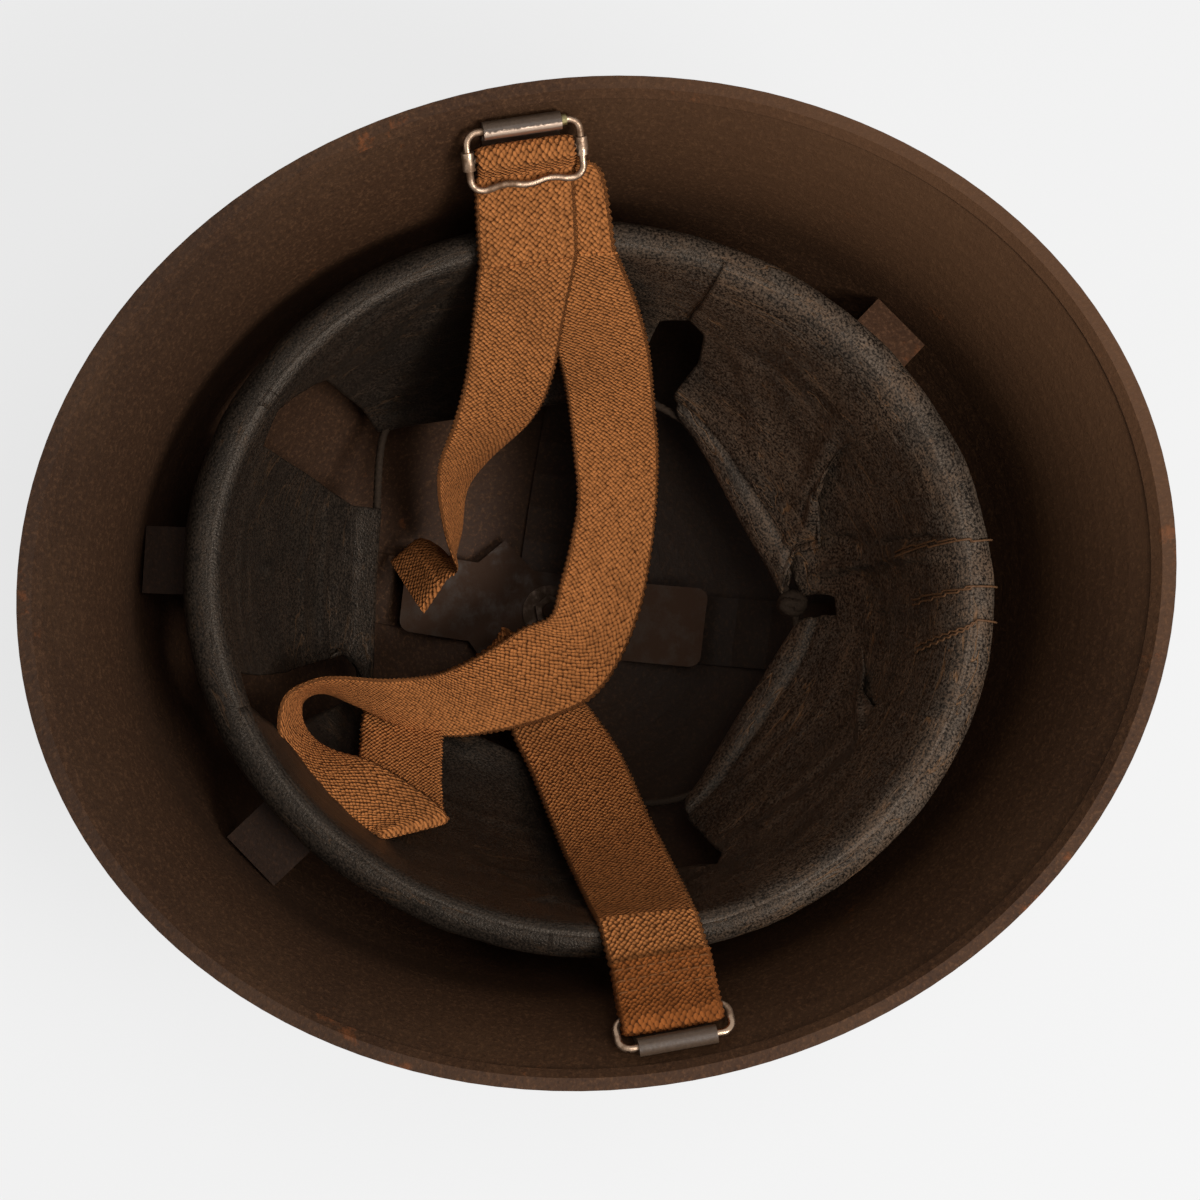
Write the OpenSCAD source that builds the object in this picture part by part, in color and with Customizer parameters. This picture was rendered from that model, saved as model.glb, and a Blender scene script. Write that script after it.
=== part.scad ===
// Pressed steel combat and vehicle crew helmet, lying on its crown with the bowl up.
// Millimetres. Z is up, the front of the helmet is towards -Y, the wearer's left towards -X.
// The origin is under the middle of the crown bolt, which the helmet stands on.

/* [Shell] */
// Length of the shell over the brim, front to back
shell_length = 281; // [270:1:296]
// Width of the shell over the brim
shell_width = 243; // [232:1:258]
// Height of the shell from the crown to the plane of the brim
shell_height = 145.4; // [136:0.2:156]
// Thickness of the steel sheet
steel = 1.2; // [0.9:0.1:1.5]
// Lean of the brim from the vertical at its edge
brim_lean = 42; // [36:1:48]
// Lean of the wall from the vertical where the brim starts
wall_lean = 9; // [6:1:12]
// Depth of the flared brim zone below the edge
brim_depth = 42; // [36:1:48]
// Lean of the wall where the side runs into the crown
crown_break = 55; // [50:1:60]

/* [Rim binding] */
// Thickness of the folded strip over the edge
binding_thick = 0.5; // [0.4:0.05:0.6]
// Width of the strip on each face of the shell
binding_leg = 3.8; // [3:0.1:5]
// Clearance between the strip and the shell
binding_fit = 0.05; // [0.03:0.01:0.1]

/* [Crown bolt] */
// Thread diameter of the crown bolt
bolt_dia = 5; // [4:0.1:6]
// Diameter of its flat head outside the shell
bolt_head_dia = 15; // [12:0.5:18]
// Height of the flat head
bolt_head_height = 1.6; // [1.2:0.1:2.2]
// Length of the shank above the head
bolt_length = 13; // [12:0.5:16]
// Width of the nut across its flats
nut_flats = 8; // [7.5:0.1:10]
// Height of the nut
nut_height = 4; // [3:0.1:5]
// Diameter of the washer under the nut
washer_dia = 15; // [12:0.5:17]
// Thickness of that washer
washer_thick = 1; // [0.6:0.1:1.4]
// Radial clearance of bolts and rivets in their holes
hole_fit = 0.05; // [0.03:0.01:0.1]

/* [Crown plate] */
// Reach of each long arm from the bolt
arm_reach = 42; // [36:1:46]
// Width of the long arms
arm_width = 22; // [18:1:24]
// Radius of the corners of the arms
arm_corner = 3; // [2:0.5:5]
// Thickness of the plate
plate_thick = 0.9; // [0.7:0.1:1.2]
// Radius to which the plate is dished
plate_dish = 70; // [66:1:74]

/* [Crown bands] */
// Width of the crossed bands under the liner
band_width = 19; // [16:1:21]
// Thickness of the bands
band_thick = 0.7; // [0.5:0.1:0.8]
// Length of each band's end along the head band
band_tail = 6; // [5:1:7]

/* [Liner] */
// Distance from the edge of the shell in to the head band, across the helmet
liner_gap = 33; // [31.5:0.5:35.5]
// Distance from the edge of the shell in to the head band, along the helmet
liner_end_gap = 42.5; // [41:0.5:44]
// Turn of the liner about the crown bolt
liner_turn = -16.5; // [-20:0.5:-12]
// Depth of the roll's middle below the edge of the shell
roll_drop = 30; // [28:0.5:32]
// Diameter of the leather roll round the head band's edge
roll_dia = 9.2; // [8.6:0.1:9.6]
// Height of the steel head band
head_band_height = 26; // [24:1:28]
// Thickness of the steel head band
head_band_thick = 1; // [0.8:0.1:1.2]
// Gap left between pieces that lie on each other
seat = 0.3; // [0.2:0.05:0.4]
// Diameter of the small rivets of the liner
liner_rivet_dia = 3; // [2.5:0.1:3.5]

/* [Spring tabs] */
// Width of the spring tabs
tab_width = 17; // [14:1:18]
// Thickness of the tabs
tab_thick = 0.8; // [0.6:0.1:1]
// Height of the riveted leg of a tab
tab_leg = 9; // [8:0.5:10]
// Height of the tabs' ends below the middle of the roll
tab_drop = 19; // [17:0.5:21]

/* [Tongues] */
// Thickness of the leathercloth
leather = 1.4; // [1:0.1:1.6]
// Distance of the tongues' upper edge inside the head band
tongue_inset = 3.2; // [3:0.1:3.6]

/* [Drawstring] */
// Diameter of the drawstring
string_dia = 2; // [1.6:0.1:2.4]

/* [Strap lugs] */
// Width of the lugs
lug_width = 19.4; // [17:0.1:22]
// Diameter of the rolled end of a lug
lug_roll_dia = 4.6; // [4.2:0.1:5]
// Thickness of the lug sheet
lug_thick = 1; // [0.8:0.1:1.2]
// Drop of the hinge line below the edge of the shell
lug_drop = 3.5; // [3:0.1:4.5]
// Place of the lugs along the shell, from the bolt
lug_place = -1.5; // [-4:0.5:2]
// Distance from the hinge line to the rivets
rivet_place = 9; // [8:0.5:10]
// Distance between the two rivets of a lug
rivet_pitch = 11; // [9:0.5:12]
// Diameter of the rivets' shanks
rivet_dia = 3.2; // [2.8:0.1:3.6]
// Diameter of the rivets' heads
rivet_head_dia = 6.4; // [5.6:0.1:7]
// Height of the rivets' outer heads
rivet_head_height = 1.2; // [1:0.1:1.6]

/* [Strap loops] */
// Diameter of the loops' wire
wire_dia = 1.8; // [1.5:0.1:2]
// Radial clearance of the wire in its bearings
wire_fit = 0.1; // [0.06:0.01:0.14]
// Width of the loops between the middles of their side wires
loop_width = 28.2; // [27.8:0.1:30]
// Radius of the loops' corners
loop_corner = 3; // [2.6:0.1:3.2]
// Length of the buckle frame from the hinge line to its wavy bar
frame_length = 14.8; // [14.6:0.1:16]
// Slope of the buckle frame as it lies
frame_slope = 25; // [20:1:30]
// Length of the plain loop from the hinge line to its bar
plain_length = 8.5; // [8:0.1:9.5]
// Slope of the plain loop as it lies
plain_slope = 36; // [32:1:40]
// Depth of the waves of the buckle's bar
wave_depth = 0.8; // [0.4:0.1:1]
// Place of the sliding bar from the hinge line
slide_place = 7; // [6.8:0.1:7.2]
// Length of the sleeves of the sliding bar
sleeve_length = 4.6; // [4:0.1:4.8]
// Outer diameter of the sleeves
sleeve_dia = 3.2; // [3:0.1:3.6]
// Length of the joint sleeve on the buckle's wire
ferrule_length = 3; // [2:0.1:3.2]

/* [Chinstrap] */
// Width of the webbing
strap_width = 25.4; // [24:0.2:25.6]
// Thickness of the webbing
strap_thick = 1.6; // [1.2:0.1:1.8]

/* [Hidden] */
$fn = 96;

// Shell profile: a brim arc, a side arc and a crown arc that run into one another.
rim_z = bolt_head_height + shell_height;
rim_r = shell_width / 2;
long_ratio = shell_length / shell_width;
brim_R = brim_depth / (sin(brim_lean) - sin(wall_lean));
brim_c = [rim_r + brim_R * cos(brim_lean), rim_z - brim_R * sin(brim_lean)];
waist = [brim_c.x - brim_R * cos(wall_lean), brim_c.y + brim_R * sin(wall_lean)];
side_x = cos(wall_lean) - cos(crown_break);
side_y = sin(crown_break) - sin(wall_lean);
crown_x = cos(crown_break);
crown_y = 1 - sin(crown_break);
waist_h = waist.y - bolt_head_height;
profile_det = side_x * crown_y - side_y * crown_x;
side_R = (waist.x * crown_y - waist_h * crown_x) / profile_det;
crown_R = (side_x * waist_h - side_y * waist.x) / profile_det;
side_c = [waist.x - side_R * cos(wall_lean), waist.y + side_R * sin(wall_lean)];
crown_c = [0, bolt_head_height + crown_R];

// Inner radius of the wall at a height, on the side arc, across the shell and at an angle.
function wall_r(z) = side_c.x + sqrt(pow(side_R - steel, 2) - pow(side_c.y - z, 2));
function oval_r(angle, ratio) = 1 / sqrt(pow(cos(angle), 2) + pow(sin(angle) / ratio, 2));

// Top of the crown bands, under the roll.
band_top = rim_z - roll_drop - roll_dia / 2 - seat;

// Heights of the crown stack, from the inside of the shell up.
crown_in = bolt_head_height + steel;
band_sag = pow(band_width / 2, 2) / (2 * crown_R);
long_z = crown_in + band_sag + 0.1;
cross_z = long_z + band_thick + band_sag + 0.15;
plate_z = cross_z + band_thick + 0.15;
washer_z = plate_z + plate_thick + pow(washer_dia / 2, 2) / (2 * (plate_dish - plate_thick)) + 0.05;
nut_z = washer_z + washer_thick + 0.05;

// Liner: everything here turns with liner_turn about the bolt.
liner_half_width = rim_r - liner_gap;
liner_oval = (shell_length / 2 - liner_end_gap) / liner_half_width;
roll_z = rim_z - roll_drop;
roll_r = roll_dia / 2;
head_band_top = roll_z + 1;
head_band_bottom = head_band_top - head_band_height;
head_band_in = liner_half_width - head_band_thick;
roll_mid = liner_half_width - head_band_thick / 2;
long_sag = pow(band_width / 2, 2) * liner_oval / (2 * head_band_in / liner_oval);
cross_sag = pow(band_width / 2, 2) / (2 * head_band_in * liner_oval * liner_oval);
tongue_r = head_band_in - tongue_inset;
tongue_top = roll_z - sqrt(pow(roll_r + seat, 2) - pow(roll_mid - tongue_r - leather / 2, 2));

// Spring tabs: angle from the liner's right side, as a hand turns from right to rear.
TAB_ANGLES = [273, 315, 136.5];
tab_tip_z = roll_z - tab_drop;
tab_top = tab_tip_z + 5;
tab_bottom = tab_top - tab_leg;
tab_rivet_z = tab_top - 5.5;

// Tongues: the two angles of the upper edge, then the two ends of the hem as
// angle, distance from the bolt and height, then the bulge towards the shell.
TONGUES = [
    [[166.5, 240], [170, 60, 50], [234.5, 68.5, 50], 0.72],
    [[247.5, 301], [250.3, 56, 49], [301, 57, 47], 0.70],
    [[304, 392], [304.5, 55, 41.4], [388, 58, 42.4], 0.80],
    [[396, 438], [399.5, 62.5, 47], [452.5, 64, 48], 0.75],
    [[81.5, 112], [93.6, 65.7, 51], [98.4, 65.7, 51], 0.55],
    [[114.5, 162], [100.6, 60, 50], [152.5, 60, 50], 0.75]];
tongue_cols = 12;
tongue_rows = 8;

// Knot of the drawstring: its angle, distance from the bolt and height.
knot_dia = string_dia * 3;
knot_at = [97, 61.6, 50];

// The soft pieces were laid out for a head band, a roll height and a webbing of these sizes.
across = liner_half_width / 88.5;
along = liner_half_width * liner_oval / 98;
deep = roll_z / 117;
wide = strap_width / 25.4;
function in_bowl(p) = [p.x * across, p.y * along, p.z * deep];

// Lugs: the flange touches the wall at flange_lean and the roll stands above it.
loop_r = wire_dia / 2;
lug_roll_r = lug_roll_dia / 2;
lug_sag = pow(lug_width / 2, 2) / (2 * rim_r * long_ratio * long_ratio) + 0.12;
lug_radius = brim_R + steel + lug_sag + lug_roll_r;
lug_reach = norm([lug_radius, rivet_place]);
lug_z = rim_z - lug_drop;
flange_lean = asin((lug_z - brim_c.y) / lug_reach) - atan(rivet_place / lug_radius);
lug_x = brim_c.x - lug_radius * cos(flange_lean) + rivet_place * sin(flange_lean);
flange_length = rivet_place + 6;
rivet_seat = 0.2;

// Points of the strap at the two loops: inward, along the hinge line and above the wire's plane.
function at_left(p) = [
    -lug_x + p.x * cos(frame_slope) + p.z * sin(frame_slope),
    lug_place + p.y,
    lug_z - p.x * sin(frame_slope) + p.z * cos(frame_slope)];
function at_right(p) = [
    lug_x - p.x * cos(plain_slope) - p.z * sin(plain_slope),
    lug_place + p.y,
    lug_z - p.x * sin(plain_slope) + p.z * cos(plain_slope)];
half_strap = strap_width / 2;
half_fold = min(half_strap, (loop_width - sleeve_dia) / 2 - 0.15);

// Point of the strap over the roll: side of the helmet, distance to the rear, lean round the roll,
// and the number of bands of webbing below this one.
function roll_x(side, y) =
    let (
        k = 1 / (liner_oval * liner_oval),
        c = cos(liner_turn),
        s = sin(liner_turn),
        a = c * c + k * s * s,
        b = y * c * s * (1 - k),
        d = y * y * (s * s + k * c * c) - roll_mid * roll_mid)
    (side * sqrt(b * b - a * d) - b) / a;
function over_roll(side, y, lean, below) =
    let (distance = roll_r + seat + strap_thick / 2 + below * (strap_thick + seat))
    [roll_x(side, y) - side * distance * cos(lean) * 1.03, y, roll_z + distance * sin(lean)];
// Both edges of the strap there, the rear edge first, from the place of its middle.
function roll_pair(side, middle, lean, below) = [
    over_roll(side, middle * along + half_strap, lean, below),
    over_roll(side, middle * along - half_strap, lean, below)];

// The fold round the sliding bar: past the bar, along it and above it.
turn_r = loop_r + strap_thick / 2 + 0.4;
left_turns = [
    [5.3, 0, -turn_r], [4.4, 0, -1.8], [3, 0, -0.1], [1.8, 0, 1.4], [0.3, 0, turn_r], [-1.6, 0, 1.7],
    [-0.5 - turn_r, 0, 0.2], [-1.7, 0, -1.5], [0.3, 0, -turn_r], [3, 1.6, -3.3], [5.3, 3, -4.1]];
left_fold = [
    for (p = left_turns)
        [at_left([slide_place + p.x, p.y + half_fold, p.z]), at_left([slide_place + p.x, p.y - half_fold, p.z])]];

// The sewn fold round the plain loop: past the bar and above it, and then the same below.
sewn_length = 15.5;
layer = strap_thick / 2 + 0.06;
nose_r = loop_r + strap_thick / 2 + 0.25;
right_turns = [[sewn_length, layer], [9, layer], [4, layer + 0.3], [0, nose_r], [-2, nose_r], [-3.7, nose_r / 2]];
function right_pair(p, height) = [
    at_right([plain_length + p.x, half_strap, height]),
    at_right([plain_length + p.x, -half_strap, height])];
right_fold = concat(
    [for (p = right_turns) right_pair(p, p.y)],
    [for (i = [len(right_turns) - 1 : -1 : 0]) right_pair(right_turns[i], -right_turns[i].y)]);

// Edges of the free parts of the strap in the bowl, the rear edge first where it starts.
function laid(stations) = [
    for (s = stations)
        let (middle = in_bowl((s[0] + s[1]) / 2), half = (s[0] - s[1]) / 2 * wide)
        [middle + half, middle - half]];
tail_start = slide_place + 7.5;
strap_route = concat(
    [
        [at_left([tail_start, half_strap + 3.6, -4.2]), at_left([tail_start, 3.6 - half_strap, -4.2])],
        roll_pair(-1, 6.25, 56, 0),
        roll_pair(-1, 7.25, 38, 0)],
    laid([
        [[-71.5, 25, 104], [-71, -0.5, 106]],
        [[-61, 29, 85], [-62, 4, 91]],
        [[-49, 31, 65], [-51, 7, 71]],
        [[-37, 32, 50], [-40, 8, 58]],
        [[-24, 31, 38], [-27, 8, 48]],
        [[-10, 28, 30], [-16, 5, 40]],
        [[4, 23, 27], [-6, 1, 35]],
        [[17, 15, 27], [2, -3, 35]],
        [[26, 5, 34], [4, -11, 36]],
        [[30, -9, 40], [9, -23, 40]],
        [[31, -23, 44], [12.5, -34, 52]],
        [[30.5, -36, 51], [13.5, -41.5, 66]],
        [[26.5, -47.5, 60], [13, -51, 79]],
        [[19, -58, 69], [11, -61.5, 91]],
        [[14, -66, 75], [11, -68.5, 98]],
        [[15, -71.5, 79], [14, -76.5, 102]],
        [[19, -73, 80], [21, -80.5, 103]],
        [[23, -72, 82], [28.5, -80.5, 103]],
        [[27, -67.5, 85], [35, -77, 104]],
        [[32, -58.5, 89], [42.5, -71.5, 104]],
        [[42, -48, 93], [48.5, -67, 104]],
        [[48.4, -44, 95.5], [50.2, -63.4, 104.8]],
        [[50.2, -43.8, 94.2], [51.4, -62.8, 103.2]],
        [[49.2, -44.1, 90.8], [50.5, -63.9, 100.4]],
        [[43.5, -43, 79], [42.5, -65, 91]],
        [[34, -40, 63], [29.5, -62, 74]],
        [[25.5, -36.5, 48.5], [17, -57, 57]],
        [[27.3, -27, 39.2], [9.5, -44.5, 46]],
        [[28, -13, 29.4], [7.5, -31, 34.6]],
        [[26.5, -2.5, 25.5], [4.5, -18.5, 28]],
        [[25, 0.5, 26.2], [2.8, -15.6, 29.4]],
        [[25.5, 1.5, 28.2], [6, -15.5, 31.4]],
        [[27, 3, 31], [14, -18, 33.5]],
        [[31, 5, 34.5], [29, -19.5, 38.5]],
        [[42, 8, 47.5], [44, -15.5, 54]],
        [[60.5, 9, 74], [64.5, -14.5, 81]],
        [[77, 11.5, 106], [77.5, -13.5, 107]]]),
    [
        roll_pair(1, -1, 24, 0),
        roll_pair(1, -0.8, 50, 0),
        right_pair([sewn_length + 0.3, 0], -layer)]);

tail_route = concat(
    [
        [at_left([tail_start, half_strap, -2.2]), at_left([tail_start, -half_strap, -2.2])],
        roll_pair(-1, -3.1, 55, 1.3),
        roll_pair(-1, -3.5, 41, 1.3)],
    laid([
        [[-70.5, 6, 109], [-72.5, -18, 111]],
        [[-56, 2, 89], [-59.5, -21, 97]],
        [[-48, -3, 72], [-49, -25, 85]],
        [[-41, -14, 53], [-41, -29, 73]],
        [[-35, -20, 41], [-34, -30, 64]],
        [[-24, -23, 31], [-23, -29, 54]],
        [[-18.5, -26.5, 25], [-15, -27, 49]],
        [[-22, -32, 21.6], [-11.5, -29, 43]],
        [[-25.5, -36, 21.2], [-9, -31, 39]],
        [[-24, -41, 21.2], [-6, -35.5, 39]]]));

// A smooth value between four stations.
function spline(a, b, c, d, t) =
    0.5 * (2 * b + (c - a) * t + (2 * a - 5 * b + 4 * c - d) * t * t + (3 * b - a - 3 * c + d) * t * t * t);
function smooth(route, steps) = [
    for (i = [0 : len(route) - 2], s = [0 : steps - 1])
        spline(route[max(i - 1, 0)], route[i], route[i + 1], route[min(i + 2, len(route) - 1)], s / steps),
    route[len(route) - 1]];
function unit(v) = v / max(norm(v), 0.00001);
function turned(p, angle) = [
    p.x * cos(angle) - p.y * sin(angle),
    p.x * sin(angle) + p.y * cos(angle),
    p.z];
function from_polar(p) = [p[1] * cos(p[0]), p[1] * sin(p[0]), p[2]];
function reversed(list) = [for (i = [len(list) - 1 : -1 : 0]) list[i]];

// Direction square to a grid of points at one of them.
function grid_normal(grid, i, j) =
    let (
        n = len(grid) - 1,
        m = len(grid[0]) - 1,
        along = grid[min(i + 1, n)][j] - grid[max(i - 1, 0)][j],
        across = grid[i][min(j + 1, m)] - grid[i][max(j - 1, 0)])
    unit(cross(along, across));

// A closed sheet of even thickness on a grid of points.
module sheet(grid, thick) {
    n = len(grid);
    m = len(grid[0]);
    top = [for (i = [0 : n - 1], j = [0 : m - 1]) grid[i][j] + grid_normal(grid, i, j) * thick / 2];
    bottom = [for (i = [0 : n - 1], j = [0 : m - 1]) grid[i][j] - grid_normal(grid, i, j) * thick / 2];
    s = n * m;
    border = concat(
        [for (j = [0 : m - 2]) [j, j + 1]],
        [for (i = [0 : n - 2]) [i * m + m - 1, (i + 1) * m + m - 1]],
        [for (j = [m - 1 : -1 : 1]) [(n - 1) * m + j, (n - 1) * m + j - 1]],
        [for (i = [n - 1 : -1 : 1]) [i * m, (i - 1) * m]]);
    faces = concat(
        [for (i = [0 : n - 2], j = [0 : m - 2]) [i * m + j, i * m + j + 1, (i + 1) * m + j + 1]],
        [for (i = [0 : n - 2], j = [0 : m - 2]) [i * m + j, (i + 1) * m + j + 1, (i + 1) * m + j]],
        [for (i = [0 : n - 2], j = [0 : m - 2]) [s + i * m + j, s + (i + 1) * m + j + 1, s + i * m + j + 1]],
        [for (i = [0 : n - 2], j = [0 : m - 2]) [s + i * m + j, s + (i + 1) * m + j, s + (i + 1) * m + j + 1]],
        [for (e = border) [e[0], s + e[0], e[1]]],
        [for (e = border) [e[1], s + e[0], s + e[1]]]);
    polyhedron(concat(top, bottom), faces);
}

// A band of webbing between two edges, with both edges smoothed alike.
module webbing(route, steps) {
    front = smooth([for (p = route) p[0]], steps);
    back = smooth([for (p = route) p[1]], steps);
    sheet([for (i = [0 : len(front) - 1]) [front[i], back[i]]], strap_thick);
}

// A round tube along an open route, with flat ends.
module tube(route, radius, sides) {
    n = len(route) - 1;
    points = [
        for (i = [0 : n])
            let (
                ahead = unit(route[min(i + 1, n)] - route[max(i - 1, 0)]),
                side = unit(cross(ahead, [0, 0, 1])),
                up = cross(side, ahead))
            for (k = [0 : sides - 1])
                route[i] + radius * (cos(360 * k / sides) * side + sin(360 * k / sides) * up)];
    walls = [
        for (i = [0 : n - 1], k = [0 : sides - 1], half = [0, 1])
            let (
                a = i * sides + k,
                b = i * sides + (k + 1) % sides,
                c = a + sides,
                d = b + sides)
            half == 0 ? [a, b, c] : [b, d, c]];
    ends = [
        [for (k = [sides - 1 : -1 : 0]) k],
        [for (k = [0 : sides - 1]) n * sides + k]];
    polyhedron(points, concat(walls, ends));
}

// Points of the shell's profile at a distance inside its outer face, from the edge to the bolt.
function arc_points(centre, radius, from, to, steps) = [
    for (i = [0 : steps]) let (lean = from + (to - from) * i / steps) centre + radius * [cos(lean), -sin(lean)]];
function brim_points(inside, from, to, steps) = [
    for (i = [0 : steps])
        let (lean = from + (to - from) * i / steps)
        brim_c + (brim_R + inside) * [-cos(lean), sin(lean)]];
function edge_lean(inside, z) = asin((z - brim_c.y) / (brim_R + inside));
function dome_points(inside) = concat(
    brim_points(inside, edge_lean(inside, rim_z), wall_lean, 10),
    [for (i = [1 : 12]) arc_points(side_c, side_R - inside, wall_lean, crown_break, 12)[i]],
    [for (i = [1 : 8]) arc_points(crown_c, crown_R - inside, crown_break, 90, 8)[i]]);
module shell_section() {
    polygon(concat(dome_points(0), reversed(dome_points(steel))));
}
// Section of the strip: a thicker brim arc less the brim arc it is folded round.
module brim_band(gap, from, to) {
    translate(brim_c) intersection() {
        difference() {
            circle(brim_R + steel + gap);
            circle(brim_R - gap);
        }
        polygon([[0, 0], for (lean = [from : (to - from) / 2 : to]) 2 * rim_r * [-cos(lean), sin(lean)]]);
        translate([-brim_c.x, -brim_c.y]) square([2 * rim_r, rim_z + gap]);
    }
}
module binding_section() {
    difference() {
        brim_band(binding_fit + binding_thick, brim_lean - asin(binding_leg / brim_R), brim_lean + 8);
        brim_band(binding_fit, brim_lean - 20, brim_lean + 20);
    }
}
// Turns a profile about Z in equal parts and stretches it along Y.
module oval_revolve(ratio, parts) {
    scale([1, ratio, 1]) for (i = [0 : parts - 1])
        rotate([0, 0, i * 360 / parts]) rotate_extrude(angle = 360 / parts) children();
}

// Puts a piece that is drawn against the left wall at either lug: X inward, Z off the wall.
module on_flange(side) {
    place = [
        -(brim_c.x - (brim_R + steel + lug_sag) * cos(flange_lean)),
        lug_place,
        brim_c.y + (brim_R + steel + lug_sag) * sin(flange_lean)];
    mirror([side > 0 ? 1 : 0, 0, 0]) translate(place) rotate([0, 90 - flange_lean, 0]) children();
}
module at_hinge(side, slope) {
    mirror([side > 0 ? 1 : 0, 0, 0]) translate([-lug_x, lug_place, lug_z]) rotate([0, slope, 0]) children();
}
module rivet_holes() {
    for (side = [-1, 1])
        translate([0, side * rivet_pitch / 2, -6]) cylinder(d = rivet_dia + 2 * hole_fit, h = 12);
}

module shell() {
    color("#4a3d31") difference() {
        oval_revolve(long_ratio, 4) shell_section();
        translate([0, 0, -1]) cylinder(d = bolt_dia + 2 * hole_fit, h = 12);
        for (side = [-1, 1]) on_flange(side) rivet_holes();
    }
}
module rim_binding() {
    color("#54453a") scale([1, long_ratio, 1]) rotate_extrude() binding_section();
}
module crown_bolt() {
    color("#7d6a45") rotate_extrude() polygon([
        [0, 0], [bolt_head_dia / 2 - 0.4, 0], [bolt_head_dia / 2, 0.4],
        [bolt_head_dia / 2, bolt_head_height], [bolt_dia / 2, bolt_head_height],
        [bolt_dia / 2, bolt_head_height + bolt_length - 0.4],
        [bolt_dia / 2 - 0.4, bolt_head_height + bolt_length], [0, bolt_head_height + bolt_length]]);
}
module crown_washer() {
    color("#5d5043") translate([0, 0, washer_z]) difference() {
        cylinder(d = washer_dia, h = washer_thick);
        translate([0, 0, -1]) cylinder(d = bolt_dia + 2 * hole_fit, h = washer_thick + 2);
    }
}
module crown_nut() {
    color("#6a5b4c") translate([0, 0, nut_z]) difference() {
        cylinder(d = nut_flats / cos(30), h = nut_height, $fn = 6);
        translate([0, 0, -1]) cylinder(d = bolt_dia + 2 * hole_fit, h = nut_height + 2);
    }
}

// Outline of the crown plate: two long arms along the liner and four pointed ears.
module plate_outline() {
    half = arm_width / 2;
    ear_side = [
        [half, 5.8],
        [half + 7.2, 15],
        [half, 21.7],
        for (lean = [0 : 22.5 : 90])
            [half - arm_corner, arm_reach - arm_corner] + arm_corner * [cos(lean), sin(lean)]];
    function flipped(list, x, y) = [for (p = list) [x * p.x, y * p.y]];
    polygon(concat(
        ear_side, reversed(flipped(ear_side, -1, 1)),
        flipped(ear_side, -1, -1), reversed(flipped(ear_side, 1, -1))));
}
module crown_plate() {
    color("#574a3e") rotate([0, 0, liner_turn]) difference() {
        intersection() {
            translate([0, 0, plate_z]) linear_extrude(30) plate_outline();
            translate([0, 0, plate_z + plate_dish]) difference() {
                sphere(plate_dish);
                sphere(plate_dish - plate_thick);
            }
        }
        cylinder(d = bolt_dia + 2 * hole_fit, h = 40);
    }
}

// Side view of a crown band, which follows a half oval and then runs up the head band.
module band_side(half_span, low) {
    band_rise = band_top - band_tail - low;
    turns = [for (i = [-14 : 14]) i * 90 / 14];
    outer = [for (a = turns) [half_span * sin(a), low + band_rise * (1 - cos(a))]];
    inner = [for (a = turns)
        [(half_span - band_thick) * sin(a), low + band_rise - (band_rise - band_thick) * cos(a)]];
    polygon(concat(
        [[-half_span, band_top]], outer, [[half_span, band_top], [half_span - band_thick, band_top]],
        reversed(inner), [[band_thick - half_span, band_top]]));
}
module crown_band(half_span, low) {
    difference() {
        rotate([90, 0, 0]) linear_extrude(band_width, center = true) band_side(half_span, low);
        cylinder(d = bolt_dia + 2 * hole_fit, h = bolt_head_height + bolt_length);
        translate([0, 0, band_top - band_tail / 2]) rotate([0, 90, 0])
            cylinder(d = liner_rivet_dia + 2 * hole_fit, h = shell_length, center = true);
    }
}
long_span = head_band_in * liner_oval - long_sag - 0.05;
cross_span = head_band_in - cross_sag - 0.05;
module crown_band_long() {
    color("#5b4a3b") rotate([0, 0, liner_turn + 90]) crown_band(long_span, long_z);
}
module crown_band_cross() {
    color("#5b4a3b") rotate([0, 0, liner_turn]) crown_band(cross_span, cross_z);
}
// Angle of each band end and its inner face, for holes and rivets.
BAND_ENDS = [
    for (turn = [90, 270]) [turn, long_span - band_thick],
    for (turn = [0, 180]) [turn, cross_span - band_thick]];
module at_band_end(end) {
    rotate([0, 0, end[0]]) translate([0, 0, band_top - band_tail / 2]) rotate([0, 90, 0]) children();
}
// A small rivet along Z, from its inner head to its outer head.
module liner_rivet(from, to) {
    shank = liner_rivet_dia / 2;
    head = shank + 1.2;
    rotate_extrude() polygon([
        [0, from - 0.8], [head - 0.3, from - 0.8], [head, from - 0.5], [head, from], [shank, from],
        [shank, to], [head, to], [head, to + 0.3], [head - 0.3, to + 0.6], [0, to + 0.6]]);
}
function head_band_out(angle) = liner_half_width * oval_r(angle, liner_oval);
function square_out(angle) = atan2(sin(angle) / (liner_oval * liner_oval), cos(angle));
module crown_band_rivets() {
    color("#6a5a48") rotate([0, 0, liner_turn])
        for (end = BAND_ENDS) at_band_end(end)
            liner_rivet(end[1] - 0.05, head_band_out(end[0]) + 0.1);
}

module head_band() {
    color("#3a332d") rotate([0, 0, liner_turn]) difference() {
        oval_revolve(liner_oval, 8) translate([head_band_in, head_band_bottom])
            square([head_band_thick, head_band_height]);
        for (end = BAND_ENDS) at_band_end(end)
            cylinder(d = liner_rivet_dia + 2 * hole_fit, h = shell_length / 2);
        for (angle = TAB_ANGLES, side = [-1, 1]) at_tab(angle, side)
            cylinder(d = liner_rivet_dia + 2 * hole_fit, h = 10, center = true);
    }
}
module sweatband_roll() {
    color("#1d1c1c") rotate([0, 0, liner_turn]) oval_revolve(liner_oval, 8) difference() {
        translate([roll_mid, roll_z]) circle(roll_r, $fn = 32);
        translate([head_band_in - 0.05, head_band_bottom])
            square([head_band_thick + 0.1, head_band_height + 0.05]);
    }
}

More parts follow.
